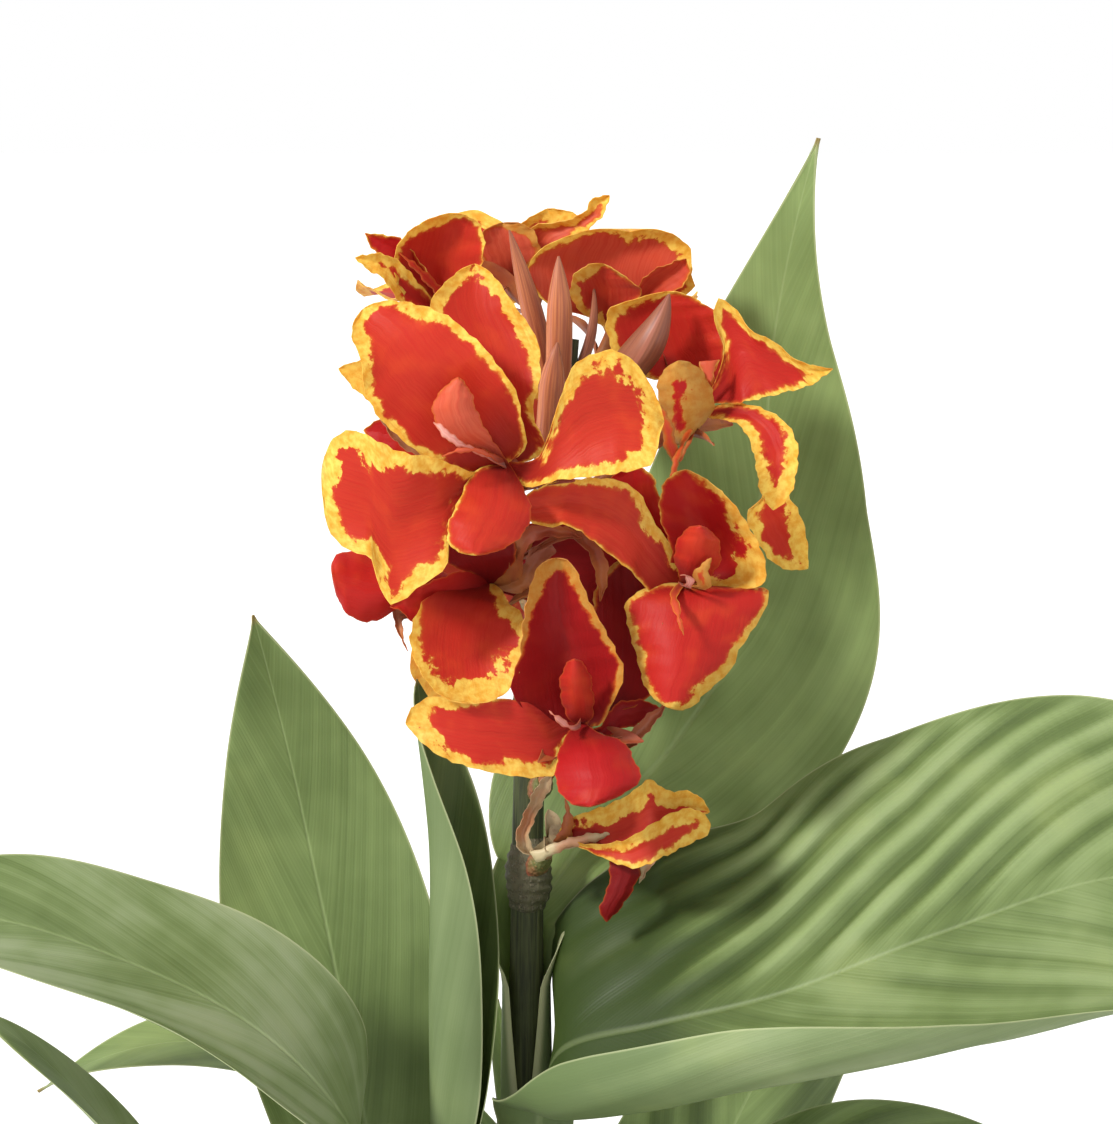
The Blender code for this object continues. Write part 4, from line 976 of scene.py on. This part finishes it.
def clay_finish():
    """Fired clay: mottled orange-brown, a fine grain, faint turning lines and a pale bloom low down."""
    made = Finish("fired_clay", 0.85)
    place = made.place()
    grain = made.noise(place, 900.0, 4.0, 0.65)
    cloud = made.noise(place, 16.0, 4.0, 0.6)
    height = made.node("SeparateXYZ", {0: place}, 2)
    rings = made.noise(made.vector(0.0, 0.0, 420.0 * height), 1.0, 3.0, 0.6)
    face = made.mix(cloud.step(0.3, 0.7), (170, 96, 62), (200, 126, 88))
    face = made.mix(0.25 * rings.step(0.45, 0.75), face, (150, 84, 54))
    face = made.mix(0.3 * grain.step(0.6, 0.8), face, (226, 176, 140))
    salt = (1.0 - height.step(0.0, 0.075)) * made.noise(place, 34.0, 5.0, 0.65).step(0.44, 0.68)
    face = made.mix(0.6 * salt, face, (222, 204, 186))
    made.set("Base Color", face)
    made.set("Roughness", 0.74 + 0.2 * grain)
    made.bump(0.8 * rings + 0.5 * grain, 0.0005)
    return made.material


def soil_finish():
    """Potting soil: dark brown crumbs with lighter flecks."""
    made = Finish("soil", 0.95)
    place = made.place()
    crumbs = made.cells(place, 260.0)
    grain = made.noise(place, 500.0, 5.0, 0.7)
    cloud = made.noise(place, 40.0, 3.0, 0.55)
    face = made.mix(grain.step(0.3, 0.7), (38, 26, 18), (86, 62, 44))
    face = made.mix(0.4 * cloud.step(0.45, 0.7), face, (104, 80, 58))
    face = made.mix(0.6 * grain.step(0.68, 0.8), face, (150, 124, 96))
    made.set("Base Color", face)
    made.bump(crumbs + 0.8 * grain, 0.0012)
    return made.material


# Leaves

def stem_axis(shoot, height):
    """The stem's centre and radius at that height."""
    points, radii = SHOOTS[shoot]
    knots = chord_knots(points)
    s = np.linspace(0, 1, 200)
    line = follow(knots, points, s)
    radius = follow(knots, np.asarray(radii, float)[:, None], s)[:, 0]
    centre = np.array([np.interp(height, line[:, 2], line[:, k]) for k in range(3)])
    return centre, float(np.interp(height, line[:, 2], radius))


def leaf(name, finish, shoot, low, high, midrib, faces, half_width, shape, curls, powers, pleat, slant,
         tone, foot_dark=0.1, wax=0.15, wrap=SHEATH_WRAP, gap=SHEATH_GAP,
         unfold=UNFOLD_LENGTH, unroll=4.0, back=None, pinch=(0, 0)):
    """A leaf whose foot is a sheath round the stem, narrowing to a channelled stalk, then the blade."""
    centre_low, radius_low = stem_axis(shoot, low)
    centre_high, radius_high = stem_axis(shoot, high)
    out = np.array(midrib[0], float) - centre_high if back is None else np.array(back, float)
    out[2] = 0
    out = unit(out)
    clear = gap + SHEATH_CLEARANCE

    # The sheath follows the stem, then the stalk widens into the blade
    clasp = [centre_low + out * (radius_low + clear), centre_high + out * (radius_high + clear)]
    clasp.append(clasp[1] + 0.4 * out + unit(centre_high - centre_low) * UNFOLD_LENGTH * 0.4)
    points = np.array([*clasp, *midrib], float)
    looks = np.array([-out, -out, -out, *faces], float)
    knots = chord_knots(points)
    end = knots[1]
    length = line_length(points)
    blade_rows = int(length * (1 - end) / BLADE_ROW)
    s = np.concatenate([np.linspace(0, end, SHEATH_ROWS, endpoint=False), np.linspace(end, 1, blade_rows)])
    u = np.clip((s - end) / (1 - end), 0, 1)
    opening = ease((s - end) * length / unfold + 0.25)
    wrap = np.radians(wrap + (SHEATH_CLOSED - wrap) * (1 - np.clip(s / end, 0, 1)))
    radius = radius_low + (radius_high - radius_low) * np.clip(s / end, 0, 1) + clear
    narrowing = ease((s - end) * length / UNFOLD_LENGTH / 1.8)
    wide = wrap * radius * (1 - narrowing) + half_width * humped(u, *shape) * narrowing
    wide = np.maximum(wide, EDGE_HALF_WIDTH * (1 - 0.7 * u))
    curl = [wrap * (1 - opening) + math.radians(c) * opening * (1 - u**unroll) for c in curls]
    power = [1 + (p - 1) * opening for p in powers]
    rib = 0.2 * (1 - opening) + np.minimum(RIB_HALF_WIDTH * (1.3 - u) / wide, 0.2) * opening

    # Columns across the blade from the left margin to the right one, closer together over the midrib
    columns = int(np.clip(half_width / COLUMN_WIDTH, FEWEST_COLUMNS, MOST_COLUMNS))
    outer = np.linspace(0, 1, columns - RIB_COLUMNS + 1)[1:]
    near = np.arange(RIB_COLUMNS + 1) / RIB_COLUMNS
    half = np.concatenate([np.outer(rib, near), rib[:, None] + np.outer(1 - rib, outer)], axis=1)
    v = np.concatenate([-half[:, :0:-1], half], axis=1)
    squeezed = ease(u / PINCH_RISE) * (1 - ease((u - PINCH_HOLD) / PINCH_FADE))
    room = 1 - np.where(v < 0, *pinch) * squeezed[:, None]
    v = v * room
    lateral = v * wide[:, None]
    off = np.abs(lateral)

    # Pleats between the side veins, and a ruffle along the margin
    station = (s * length)[:, None]
    vein = (station - slant * off - 0.35 * slant * off**2 / half_width) / math.hypot(1, slant)
    inland = ease((1 - np.abs(v)) / 0.14) * ease((np.abs(v) - 0.03) / 0.15)
    turned = 2 * np.pi * vein / PLEAT_SPACING + 1.1 * np.sin(vein / 19) + 1.5 * (v > 0)
    finer = np.sin(2.13 * turned + 0.6 * np.sin(station / 23))
    ridges = MAIN_WAVE * np.sin(turned) + FINE_WAVE * finer
    raised = opening * (1 - u**3) * (0.1 + 0.9 * ease((u - 0.1) / 0.3))
    ridges = ridges * inland * np.where(v > 0, RIGHT_HALF_PLEATS, 1.0) * raised[:, None]
    ruffle = np.sin(station / MARGIN_RUFFLE_LENGTH + 2.2 * (v > 0) + half_width)
    ruffle = MARGIN_RUFFLE * v**4 * ruffle * opening[:, None]

    # The surface, with a rib that stands out below and a furrow above it
    spine = follow(knots, points, s)
    held = s < end
    spine[held] = points[0] + np.outer(s[held] / end, points[1] - points[0])
    wave = pleat * ridges + ruffle * min(1.0, half_width / RUFFLED_WIDTH)
    grid, normal = blade_surface(spine, follow(knots, looks, s), v, wide, curl, power, wave)
    thin = LEAF_THICKNESS / 2 * (0.4 + 0.6 * ease((1 - np.abs(v)) / 0.1))
    rib_width = RIB_HALF_WIDTH * (1.3 - u)[:, None]
    strength = (opening * (1.05 - u))[:, None]
    below = thin + RIB_HEIGHT * bell(lateral, rib_width * 0.6) * strength
    above = thin - 0.45 * RIB_HEIGHT * bell(lateral, rib_width * 0.35) * strength
    edge = wide[:, None] * room - off
    # The foot is darker: partly a darker green, partly painted shade
    shaded = tone - foot_dark * (1 - ease((u - DARK_SHADED_FOOT) / DARK_SHADED_FOOT_FADE))
    made = Shape()
    made.add_sheet(grid, normal, above, below, vein_mm=vein, rib_mm=off, edge_mm=edge,
                   tone=shaded[:, None], share=u[:, None], pleat=ridges * min(1.0, 1.6 * pleat), wax=wax)
    piece(name + "_blade", made, finish, name, 60.0)


# Blooms

def add_thin_petal(made, grid, normal, flat, rim, **values):
    """A petal's closed sheet, thinner near its rim. Flat and rim are its points laid out flat."""
    edge = np.linalg.norm(flat[:, :, None] - rim, axis=-1).min(-1)
    thin = PETAL_THICKNESS / 2 * (0.45 + 0.55 * ease(edge / 3.0))
    made.add_sheet(grid, normal, thin, thin, edge_mm=edge, **values)


def add_petal(made, points, looks, half_width, curls, ruffle, outline, phase, **values):
    """A petal with a rounded, slightly notched outline, a frilled edge and a furrow along its middle."""
    table, rounding = outline
    at, widths = np.array(table).T
    share = TIP_SHARE * (1 - (1 - np.linspace(0, 1, PETAL_ROWS)) ** 1.5)
    knots = chord_knots(points)
    spine = follow(knots, points, share)
    facings = follow(np.linspace(0, 1, len(looks)), looks, share)
    far = share * line_length(points)
    cap = np.clip(share - rounding, 0, None) / (TIP_SHARE - rounding)
    wide = half_width * follow(at, widths[:, None], share)[:, 0] * np.sqrt(1 - cap**2)
    wide *= 1 + 0.03 * np.sin(0.5 * far + phase) + 0.018 * np.sin(1.3 * far + 2 * phase)
    wide = np.maximum(wide, 0.12)
    v = np.tile(np.sin(np.linspace(-1, 1, PETAL_COLUMNS) * math.pi / 2 * 0.86), (PETAL_ROWS, 1))
    v /= v[0, -1]
    lateral = v * wide[:, None]
    curl = [np.full(PETAL_ROWS, math.radians(c)) for c in curls]
    power = [np.full(PETAL_ROWS, PETAL_CURL_POWER)] * 2
    wave = ruffle * v**2 * (share * np.sin(9 * share + phase))[:, None]
    size = min(1.0, half_width / 14)
    frill = np.sin(0.62 * far[:, None] + phase + 1.3 * np.sign(v))
    frill = frill + 0.5 * np.sin(1.27 * far[:, None] + 3 * phase)
    wave += 0.5 * size * frill * np.abs(v) ** 3 * ease(share / 0.5)[:, None]
    wave -= 0.5 * size * bell(lateral, 1.1) * (1 - 0.6 * share[:, None])
    wave += 0.07 * np.cos(2.4 * lateral + 0.08 * far[:, None])
    grid, normal = blade_surface(spine, facings, v, wide, curl, power, wave)
    rim = np.concatenate([np.stack([wide, far], 1), np.stack([-wide, far], 1)])
    flat = np.stack(np.broadcast_arrays(lateral, far[:, None]), -1)
    add_thin_petal(made, grid, normal, flat, rim, side_mm=lateral, far_mm=far[:, None],
                   share=np.clip(share, 0, 1)[:, None], **values)


def camera_frame():
    """The camera's place, and the ways that are right, up and backwards in the picture."""
    rise = math.radians(CAMERA_ELEVATION)
    back = np.array([0.0, -math.cos(rise), math.sin(rise)])
    up = np.array([0.0, math.sin(rise), math.cos(rise)])
    return np.array(AIM) + back * CAMERA_DISTANCE, np.array([1.0, 0.0, 0.0]), up, back


def seen(flat, depth):
    """The points at these depths along Y that the camera sees at these places across and up."""
    eye, right, up, _ = camera_frame()
    ray = np.array(AIM) + flat[..., :1] * right + flat[..., 1:] * up - eye
    return eye + ray * ((depth - eye[1]) / ray[..., 1])[..., None]


def picture_place(point):
    """Where the camera sees a point: across and up from the picture's centre."""
    eye, right, up, back = camera_frame()
    ray = np.asarray(point, float) - eye
    return np.array([ray @ right, ray @ up]) * CAMERA_DISTANCE / -(ray @ back)


def add_seen_petal(made, throat, first, second, depths, cup, margins, phase, **values):
    """A petal between two edges as the photograph shows them, from the throat to a shared tip."""
    start = picture_place(throat)
    first, second = np.array(first, float), np.array([*second, first[-1]], float)
    tip = first[-1]
    aside, ahead = second.mean(0) - first.mean(0), tip - start
    if aside[0] * ahead[1] - aside[1] * ahead[0] < 0:
        first, second = second, first
        margins = (*margins[2:], *margins[:2])
        aside = -aside
    ends = [start - 1.4 * unit(aside), start + 1.4 * unit(aside)]
    t = 1 - (1 - np.linspace(0, 1, PETAL_ROWS)) ** 1.35
    edges = []
    for end, points in zip(ends, (first, second)):
        points = np.array([end, *points])
        edges.append(follow(chord_knots(points), points, t))

    # Small notches along both edges
    gap = edges[1] - edges[0]
    out = gap / np.maximum(np.linalg.norm(gap, axis=1, keepdims=True), 1.0)
    walk = np.cumsum(np.linalg.norm(np.diff(edges, axis=1, prepend=[[ends[0]], [ends[1]]]), axis=2), axis=1)
    for k, sign in enumerate((-1, 1)):
        notch = 0.26 * np.sin(1.05 * walk[k] + phase) + 0.17 * np.sin(2.3 * walk[k] + 2 * phase)
        edges[k] = edges[k] + sign * out * (notch * ease(t / 0.3) * ease((1 - t) / 0.08))[:, None]

    # The petal laid out flat in the picture, and the depth of each of its points
    v = np.sin(np.linspace(-1, 1, PETAL_COLUMNS) * math.pi / 2 * 0.8)
    v /= v[-1]
    share = ((v + 1) / 2)[None, :, None]
    flat = edges[0][:, None] * (1 - share) + edges[1][:, None] * share
    width = np.linalg.norm(edges[1] - edges[0], axis=1)
    middle = (edges[0] + edges[1]) / 2
    far = np.concatenate([[0.0], np.cumsum(np.linalg.norm(np.diff(middle, axis=0), axis=1))])
    lateral = v[None, :] * width[:, None] / 2
    size = np.clip(width / 26, 0, 1)[:, None]
    opened = ease(t / 0.35)[:, None]
    reached = depths[0] + (np.array(depths, float) - depths[0]) * DEPTH_SCALE
    depth = follow(np.array([0, 0.5, 1.0]), reached[:, None], t)
    depth = depth - CUP_SCALE * cup * (v**2)[None, :] * opened * np.sqrt(np.clip(1 - t**4, 0, 1))[:, None]
    depth = depth + 1.1 * np.sin(0.17 * lateral + 0.09 * far[:, None] + phase) * size * opened
    edge_wave = np.sin(0.5 * far[:, None] + phase + 1.4 * np.sign(v))
    edge_wave = edge_wave + 0.45 * np.sin(1.15 * far[:, None] + 3 * phase)
    depth = depth + 0.75 * size * edge_wave * np.abs(v)[None, :] ** 3 * opened
    depth = depth + 0.55 * size * bell(lateral, 1.2) * (1 - 0.7 * t)[:, None]
    depth = depth + 0.06 * np.cos(2.3 * lateral)
    grid = seen(flat, depth)

    # How wide the yellow margin is at each point
    toward = ease(v * 1.5 + 0.5)[None, :]
    along = t[:, None]
    wanted = [margins[2 * k] * (1 - along) + margins[2 * k + 1] * along for k in (0, 1)]
    margin = wanted[0] * (1 - toward) + wanted[1] * toward
    add_thin_petal(made, grid, facing(grid), flat, np.concatenate(edges), side_mm=lateral,
                   far_mm=far[:, None], share=along, margin=margin, **values)


def bloom(name, petal_look, calyx_look, root, throat, outer):
    """A bloom's broad petals as one piece, and its tube and narrow outer petals as two more."""
    root, throat = np.array(root, float), np.array(throat, float)
    axis = unit(throat - root)
    seed = (root[0] + root[2]) % 10
    broad = Shape()
    for k, (*drawn, deep, amber) in enumerate(SEEN_PETALS.get(name, [])):
        add_seen_petal(broad, throat, *drawn, phase=1.7 * k, deep=deep, amber=amber, seed=seed + k)
    far = list(FAR_PETALS.get(name, []))
    if name in BACK_REACH:
        far += spreading_petals(root, throat, BACK_REACH[name])
    for k, (points, looks, half_width) in enumerate(far):
        points = np.array([throat - axis * 3, *points], float)
        add_petal(broad, points, looks, half_width, (FAR_CURL, FAR_CURL), FAR_RUFFLE, ROUND, 1.7 * k,
                  deep=FAR_DEEP, margin=FAR_MARGIN, amber=0.0, seed=seed + k)
    piece(name + "_petals", broad, petal_look, name, 70.0)
    tube = Shape()
    foot = root + axis * (OVARY_LENGTH + FIT_GAP)
    pale = 0.9 if name == "bloom_spent" else 0.0
    tube.add_limb([foot, (foot + throat) / 2, throat], TUBE_RADII, TUBE_GRID,
                  lambda share, turn: 1 + 0.06 * np.cos(3 * turn), pale=pale)
    piece(name + "_tube", tube, calyx_look, name)
    sepals = Shape()
    across_axis = unit(np.cross(axis, (0.3, 0.2, 1.0)))
    for k in range(OUTER_PETALS):
        turn = 2 * math.pi * (k + 0.5) / OUTER_PETALS
        away = math.cos(turn) * across_axis + math.sin(turn) * np.cross(axis, across_axis)
        points = throat + np.outer([-0.5, -0.2, 0.02], axis) * outer
        points += np.outer([0.06, 0.3, 0.72], away) * outer
        add_petal(sepals, points, [-away, -away, axis - away], OUTER_HALF_WIDTH, (40, 40), 0, NARROW, k,
                  pale=pale, margin=0.0)
    for k, (*drawn, pale) in enumerate(SEEN_SEPALS.get(name, [])):
        add_seen_petal(sepals, throat, *drawn, margins=(0, 0, 0, 0), phase=2.1 * k, pale=pale)
    piece(name + "_outer_petals", sepals, calyx_look, name, 70.0)


def spreading_petals(root, throat, reach):
    """The petals of a bloom that faces away, spread round its own axis."""
    axis = unit(throat - root)
    up = unit(np.array([0, 0, 1.0]) - axis[2] * axis)
    made = []
    for turn, share, half_width in SPREAD:
        away = math.cos(math.radians(turn)) * up + math.sin(math.radians(turn)) * np.cross(up, axis)
        points = [throat + reach * share * (a * away + b * axis) for a, b in ((0.5, 0.36), (1.0, 0.3))]
        made.append((points, [axis - away, axis - 0.2 * away, axis + 0.3 * away], half_width))
    return made


# Stems

def stems(stem_look, ovary_look, bud_look):
    """The three stems, and the flowering one's knuckle, ovaries and buds."""
    for name, (points, radii) in SHOOTS.items():
        axis = Shape()
        axis.add_limb(points, radii, STEM_GRID, lambda share, turn: 1 + 0.02 * np.cos(9 * turn), bloomy=0.0)
        axis.values["leafy"] = [1 - ease((axis.vertices[0][:, 2] - LEAFY_BELOW) / LEAFY_FADE)]
        piece(name + "_axis", axis, stem_look, name)
    knuckle = Shape()
    knuckle.add_limb(KNUCKLE, KNUCKLE_RADII, KNUCKLE_GRID, lambda share, turn: (
        1 + 0.06 * np.sin(3 * turn + 6 * share) + 0.035 * np.sin(11 * turn) * math.sin(20 * share)
        + 0.045 * math.sin(44 * share)), bloomy=1.0, leafy=0.0)
    piece("flowering_stem_knuckle", knuckle, stem_look, "flowering_stem")
    ovaries = Shape()
    for root, throat, _ in BLOOMS.values():
        line = root + np.outer([0, 0.55, 1], unit(np.array(throat, float) - root)) * OVARY_LENGTH
        ovaries.add_limb(line, OVARY_RADII, OVARY_GRID, lambda share, turn: (
            1 + 0.07 * np.cos(3 * turn) + 0.05 * np.sin(10 * turn) * math.sin(26 * share)))
    piece("flowering_stem_ovaries", ovaries, ovary_look, "flowering_stem")
    buds = Shape()
    for line, radius, dark in BUDS:
        buds.add_limb(line, (BUD_FOOT_RADIUS, radius, BUD_TIP_RADIUS), BUD_GRID, lambda share, turn: (
            1 + 0.1 * np.sin(3 * turn + 2.5 * share) * math.sin(math.pi * share)), dark=dark)
    piece("flowering_stem_buds", buds, bud_look, "flowering_stem")


# Pot and soil

def wall_radius(z):
    """The pot's outer radius under its band, at that height."""
    band = POT_RIM_RADIUS - POT_BAND_PROUD
    return POT_FOOT_RADIUS + (band - POT_FOOT_RADIUS) * z / POT_HEIGHT


def rounded(corner, before, after, radius, steps=5):
    """The points of a rounded corner between two directions, each given by a point it leads to."""
    corner, before, after = (np.array(p, float) for p in (corner, before, after))
    start = corner + unit(before - corner) * radius
    end = corner + unit(after - corner) * radius
    t = np.linspace(0, 1, steps)[:, None]
    return [tuple(p) for p in (1 - t) ** 2 * start + 2 * t * (1 - t) * corner + t**2 * end]


def wall_points(start, end, count):
    """Evenly spaced points strictly between two points of a profile."""
    t = np.linspace(0, 1, count + 2)[1:-1, None]
    return [tuple(p) for p in (1 - t) * np.array(start, float) + t * np.array(end, float)]


def pot_profile():
    ledge = POT_HEIGHT - POT_BAND_HEIGHT
    foot, rim = (POT_FOOT_RADIUS, 0), (POT_RIM_RADIUS, POT_HEIGHT)
    under_band = (wall_radius(ledge), ledge)
    band_low = (wall_radius(ledge) + POT_BAND_PROUD, ledge)
    lip = (wall_radius(POT_HEIGHT) - POT_WALL, POT_HEIGHT)
    inner = (wall_radius(POT_FLOOR) - POT_WALL, POT_FLOOR)
    return [
        (0, 0), (POT_FOOT_RADIUS * 0.75, 0), *rounded(foot, (0, 0), under_band, 2.5),
        *wall_points(foot, under_band, 12), *rounded(under_band, foot, band_low, 1.0),
        *rounded(band_low, under_band, rim, 2.0), *wall_points(band_low, rim, 3),
        *rounded(rim, band_low, lip, 2.4), *rounded(lip, rim, inner, 1.8),
        *wall_points(lip, inner, 6), inner, (0, POT_FLOOR),
    ]


def cut(host, cutters):
    """The host with the cutters' solids taken away. The cutters are then removed."""
    group = bpy.data.collections.new("cutters")
    bpy.context.scene.collection.children.link(group)
    for cutter in cutters:
        group.objects.link(cutter)
        bpy.context.scene.collection.objects.unlink(cutter)
    step = host.modifiers.new("cut", "BOOLEAN")
    step.operation = "DIFFERENCE"
    step.operand_type = "COLLECTION"
    step.collection = group
    step.solver = "EXACT"
    graph = bpy.context.evaluated_depsgraph_get()
    host.data = bpy.data.meshes.new_from_object(host.evaluated_get(graph))
    host.modifiers.clear()
    for cutter in cutters:
        bpy.data.objects.remove(cutter)
    bpy.data.collections.remove(group)


def pot(finish):
    body = Shape()
    body.add_lathe(pot_profile(), POT_SIDES)
    host = mesh_object("pot_body", body)
    drains = []
    for k in range(DRAIN_HOLES):
        turn = 2 * math.pi * (k + 0.5) / DRAIN_HOLES
        x, y = DRAIN_CIRCLE * math.cos(turn), DRAIN_CIRCLE * math.sin(turn)
        hole = Shape()
        line = [(x, y, -5), (x, y, POT_FLOOR / 2), (x, y, POT_FLOOR + 5)]
        hole.add_limb(line, [DRAIN_RADIUS] * 3, DRAIN_GRID)
        drains.append(mesh_object("drain", hole))
    cut(host, drains)
    dress(host, finish, "pot", 40.0)


def soil_height(x, y):
    """The soil's surface: a low mound with hollows and lumps."""
    out = np.hypot(x, y) / (wall_radius(SOIL_TOP) - POT_WALL)
    lumps = 1.1 * np.sin(x / 6.3) * np.cos(y / 5.1) + 0.7 * np.sin(x / 2.7 + 1) * np.sin(y / 2.3)
    lumps += 0.8 * np.sin(x / 11 + 2) + 0.35 * np.sin(x / 1.3 + y / 1.7) * np.cos(y / 1.1 - x / 2.1)
    return SOIL_TOP - SOIL_MOUND * out**2 + lumps


def soil(finish):
    low = POT_FLOOR + FIT_GAP
    side = [(wall_radius(z) - POT_WALL - FIT_GAP, z) for z in (low, SOIL_TOP - SOIL_MOUND)]
    reach = side[1][0]
    rings = [(reach * share, SOIL_TOP - SOIL_MOUND) for share in np.linspace(0.985, 0.01, 70)]
    body = Shape()
    body.add_lathe([(0, low), *side, *rings, (0, SOIL_TOP)], POT_SIDES)
    vertices = body.vertices[0] = np.array(body.vertices[0], float)
    top = vertices[:, 2] > low + 1
    vertices[top, 2] = soil_height(vertices[top, 0], vertices[top, 1])
    piece("soil_body", body, finish, "soil", 70.0)
    chance = np.random.default_rng(SEED)
    crumbs = Shape()
    for _ in range(CRUMBS):
        turn = chance.uniform(0, 2 * math.pi)
        out = reach * CRUMB_REACH * math.sqrt(chance.uniform(0, 1))
        x, y = out * math.cos(turn), out * math.sin(turn)
        add_crumb(crumbs, chance, x, y, chance.uniform(*CRUMB_SIZES) ** 1.1)
    piece("soil_crumbs", crumbs, finish, "soil", 30.0)


def add_crumb(made, chance, x, y, size):
    """A small rough lump, sunk a little into the soil."""
    ball = bmesh.new()
    bmesh.ops.create_icosphere(ball, subdivisions=2, radius=1.0)
    vertices = np.array([v.co for v in ball.verts])
    faces = [tuple(v.index for v in face.verts) for face in ball.faces]
    ball.free()
    rough = 1 + 0.16 * np.sin(vertices @ chance.uniform(-4, 4, 3) + chance.uniform(0, 6))
    rough += 0.1 * np.sin(vertices @ chance.uniform(-7, 7, 3))
    vertices = vertices * rough[:, None] * size * chance.uniform(0.7, 1.25, 3)
    made.add(vertices + (x, y, float(soil_height(x, y)) + 0.25 * size), faces)


# Light, floor and camera

def light_and_floor():
    world = bpy.data.worlds.new("studio")
    bpy.context.scene.world = world
    world.use_nodes = True
    back = world.node_tree.nodes["Background"]
    back.inputs["Color"].default_value = (1.0, 1.0, 1.0, 1.0)
    back.inputs["Strength"].default_value = 1.0
    key = bpy.data.objects.new("key", bpy.data.lights.new("key", "SUN"))
    key.data.energy = SUN_ENERGY
    key.data.angle = math.radians(SUN_WIDTH)
    key.data.color = SUN_COLOUR
    key.rotation_mode = "QUATERNION"
    key.rotation_quaternion = Vector(SUN_DIRECTION).to_track_quat("-Z", "Y")
    bpy.context.scene.collection.objects.link(key)
    mesh = bpy.data.meshes.new("floor")
    corners = [(x * FLOOR_REACH, y * FLOOR_REACH, 0) for x, y in ((-1, -1), (1, -1), (1, 1), (-1, 1))]
    mesh.from_pydata(corners, [], [(0, 1, 2, 3)])
    floor = bpy.data.objects.new("floor", mesh)
    bpy.context.scene.collection.objects.link(floor)
    pale = Finish("pale_floor", 0.9)
    pale.shader.inputs["Base Color"].default_value = (FLOOR_GREY, FLOOR_GREY, FLOOR_GREY, 1.0)
    mesh.materials.append(pale.material)
    bpy.context.scene.view_settings.view_transform = "Standard"


def camera():
    lens = bpy.data.cameras.new("camera")
    lens.sensor_width = SENSOR
    lens.lens = SENSOR * CAMERA_DISTANCE / PICTURE_HEIGHT
    lens.clip_end = FARTHEST_SEEN
    made = bpy.data.objects.new("camera", lens)
    bpy.context.scene.collection.objects.link(made)
    bpy.context.scene.camera = made
    back = Vector(camera_frame()[3])
    made.rotation_mode = "QUATERNION"
    made.location = (Vector(AIM) + back * CAMERA_DISTANCE) * MM
    made.rotation_quaternion = (-back).to_track_quat("-Z", "Y")


def main():
    blade = leaf_finish()
    for name, spec in LEAVES.items():
        leaf(name, blade, **spec)
    petal_look, calyx_look = petal_finish(), calyx_finish()
    for name, spec in BLOOMS.items():
        bloom(name, petal_look, calyx_look, *spec)
    stems(stem_finish(), ovary_finish(), bud_finish())
    pot(clay_finish())
    soil(soil_finish())
    light_and_floor()
    camera()


main()
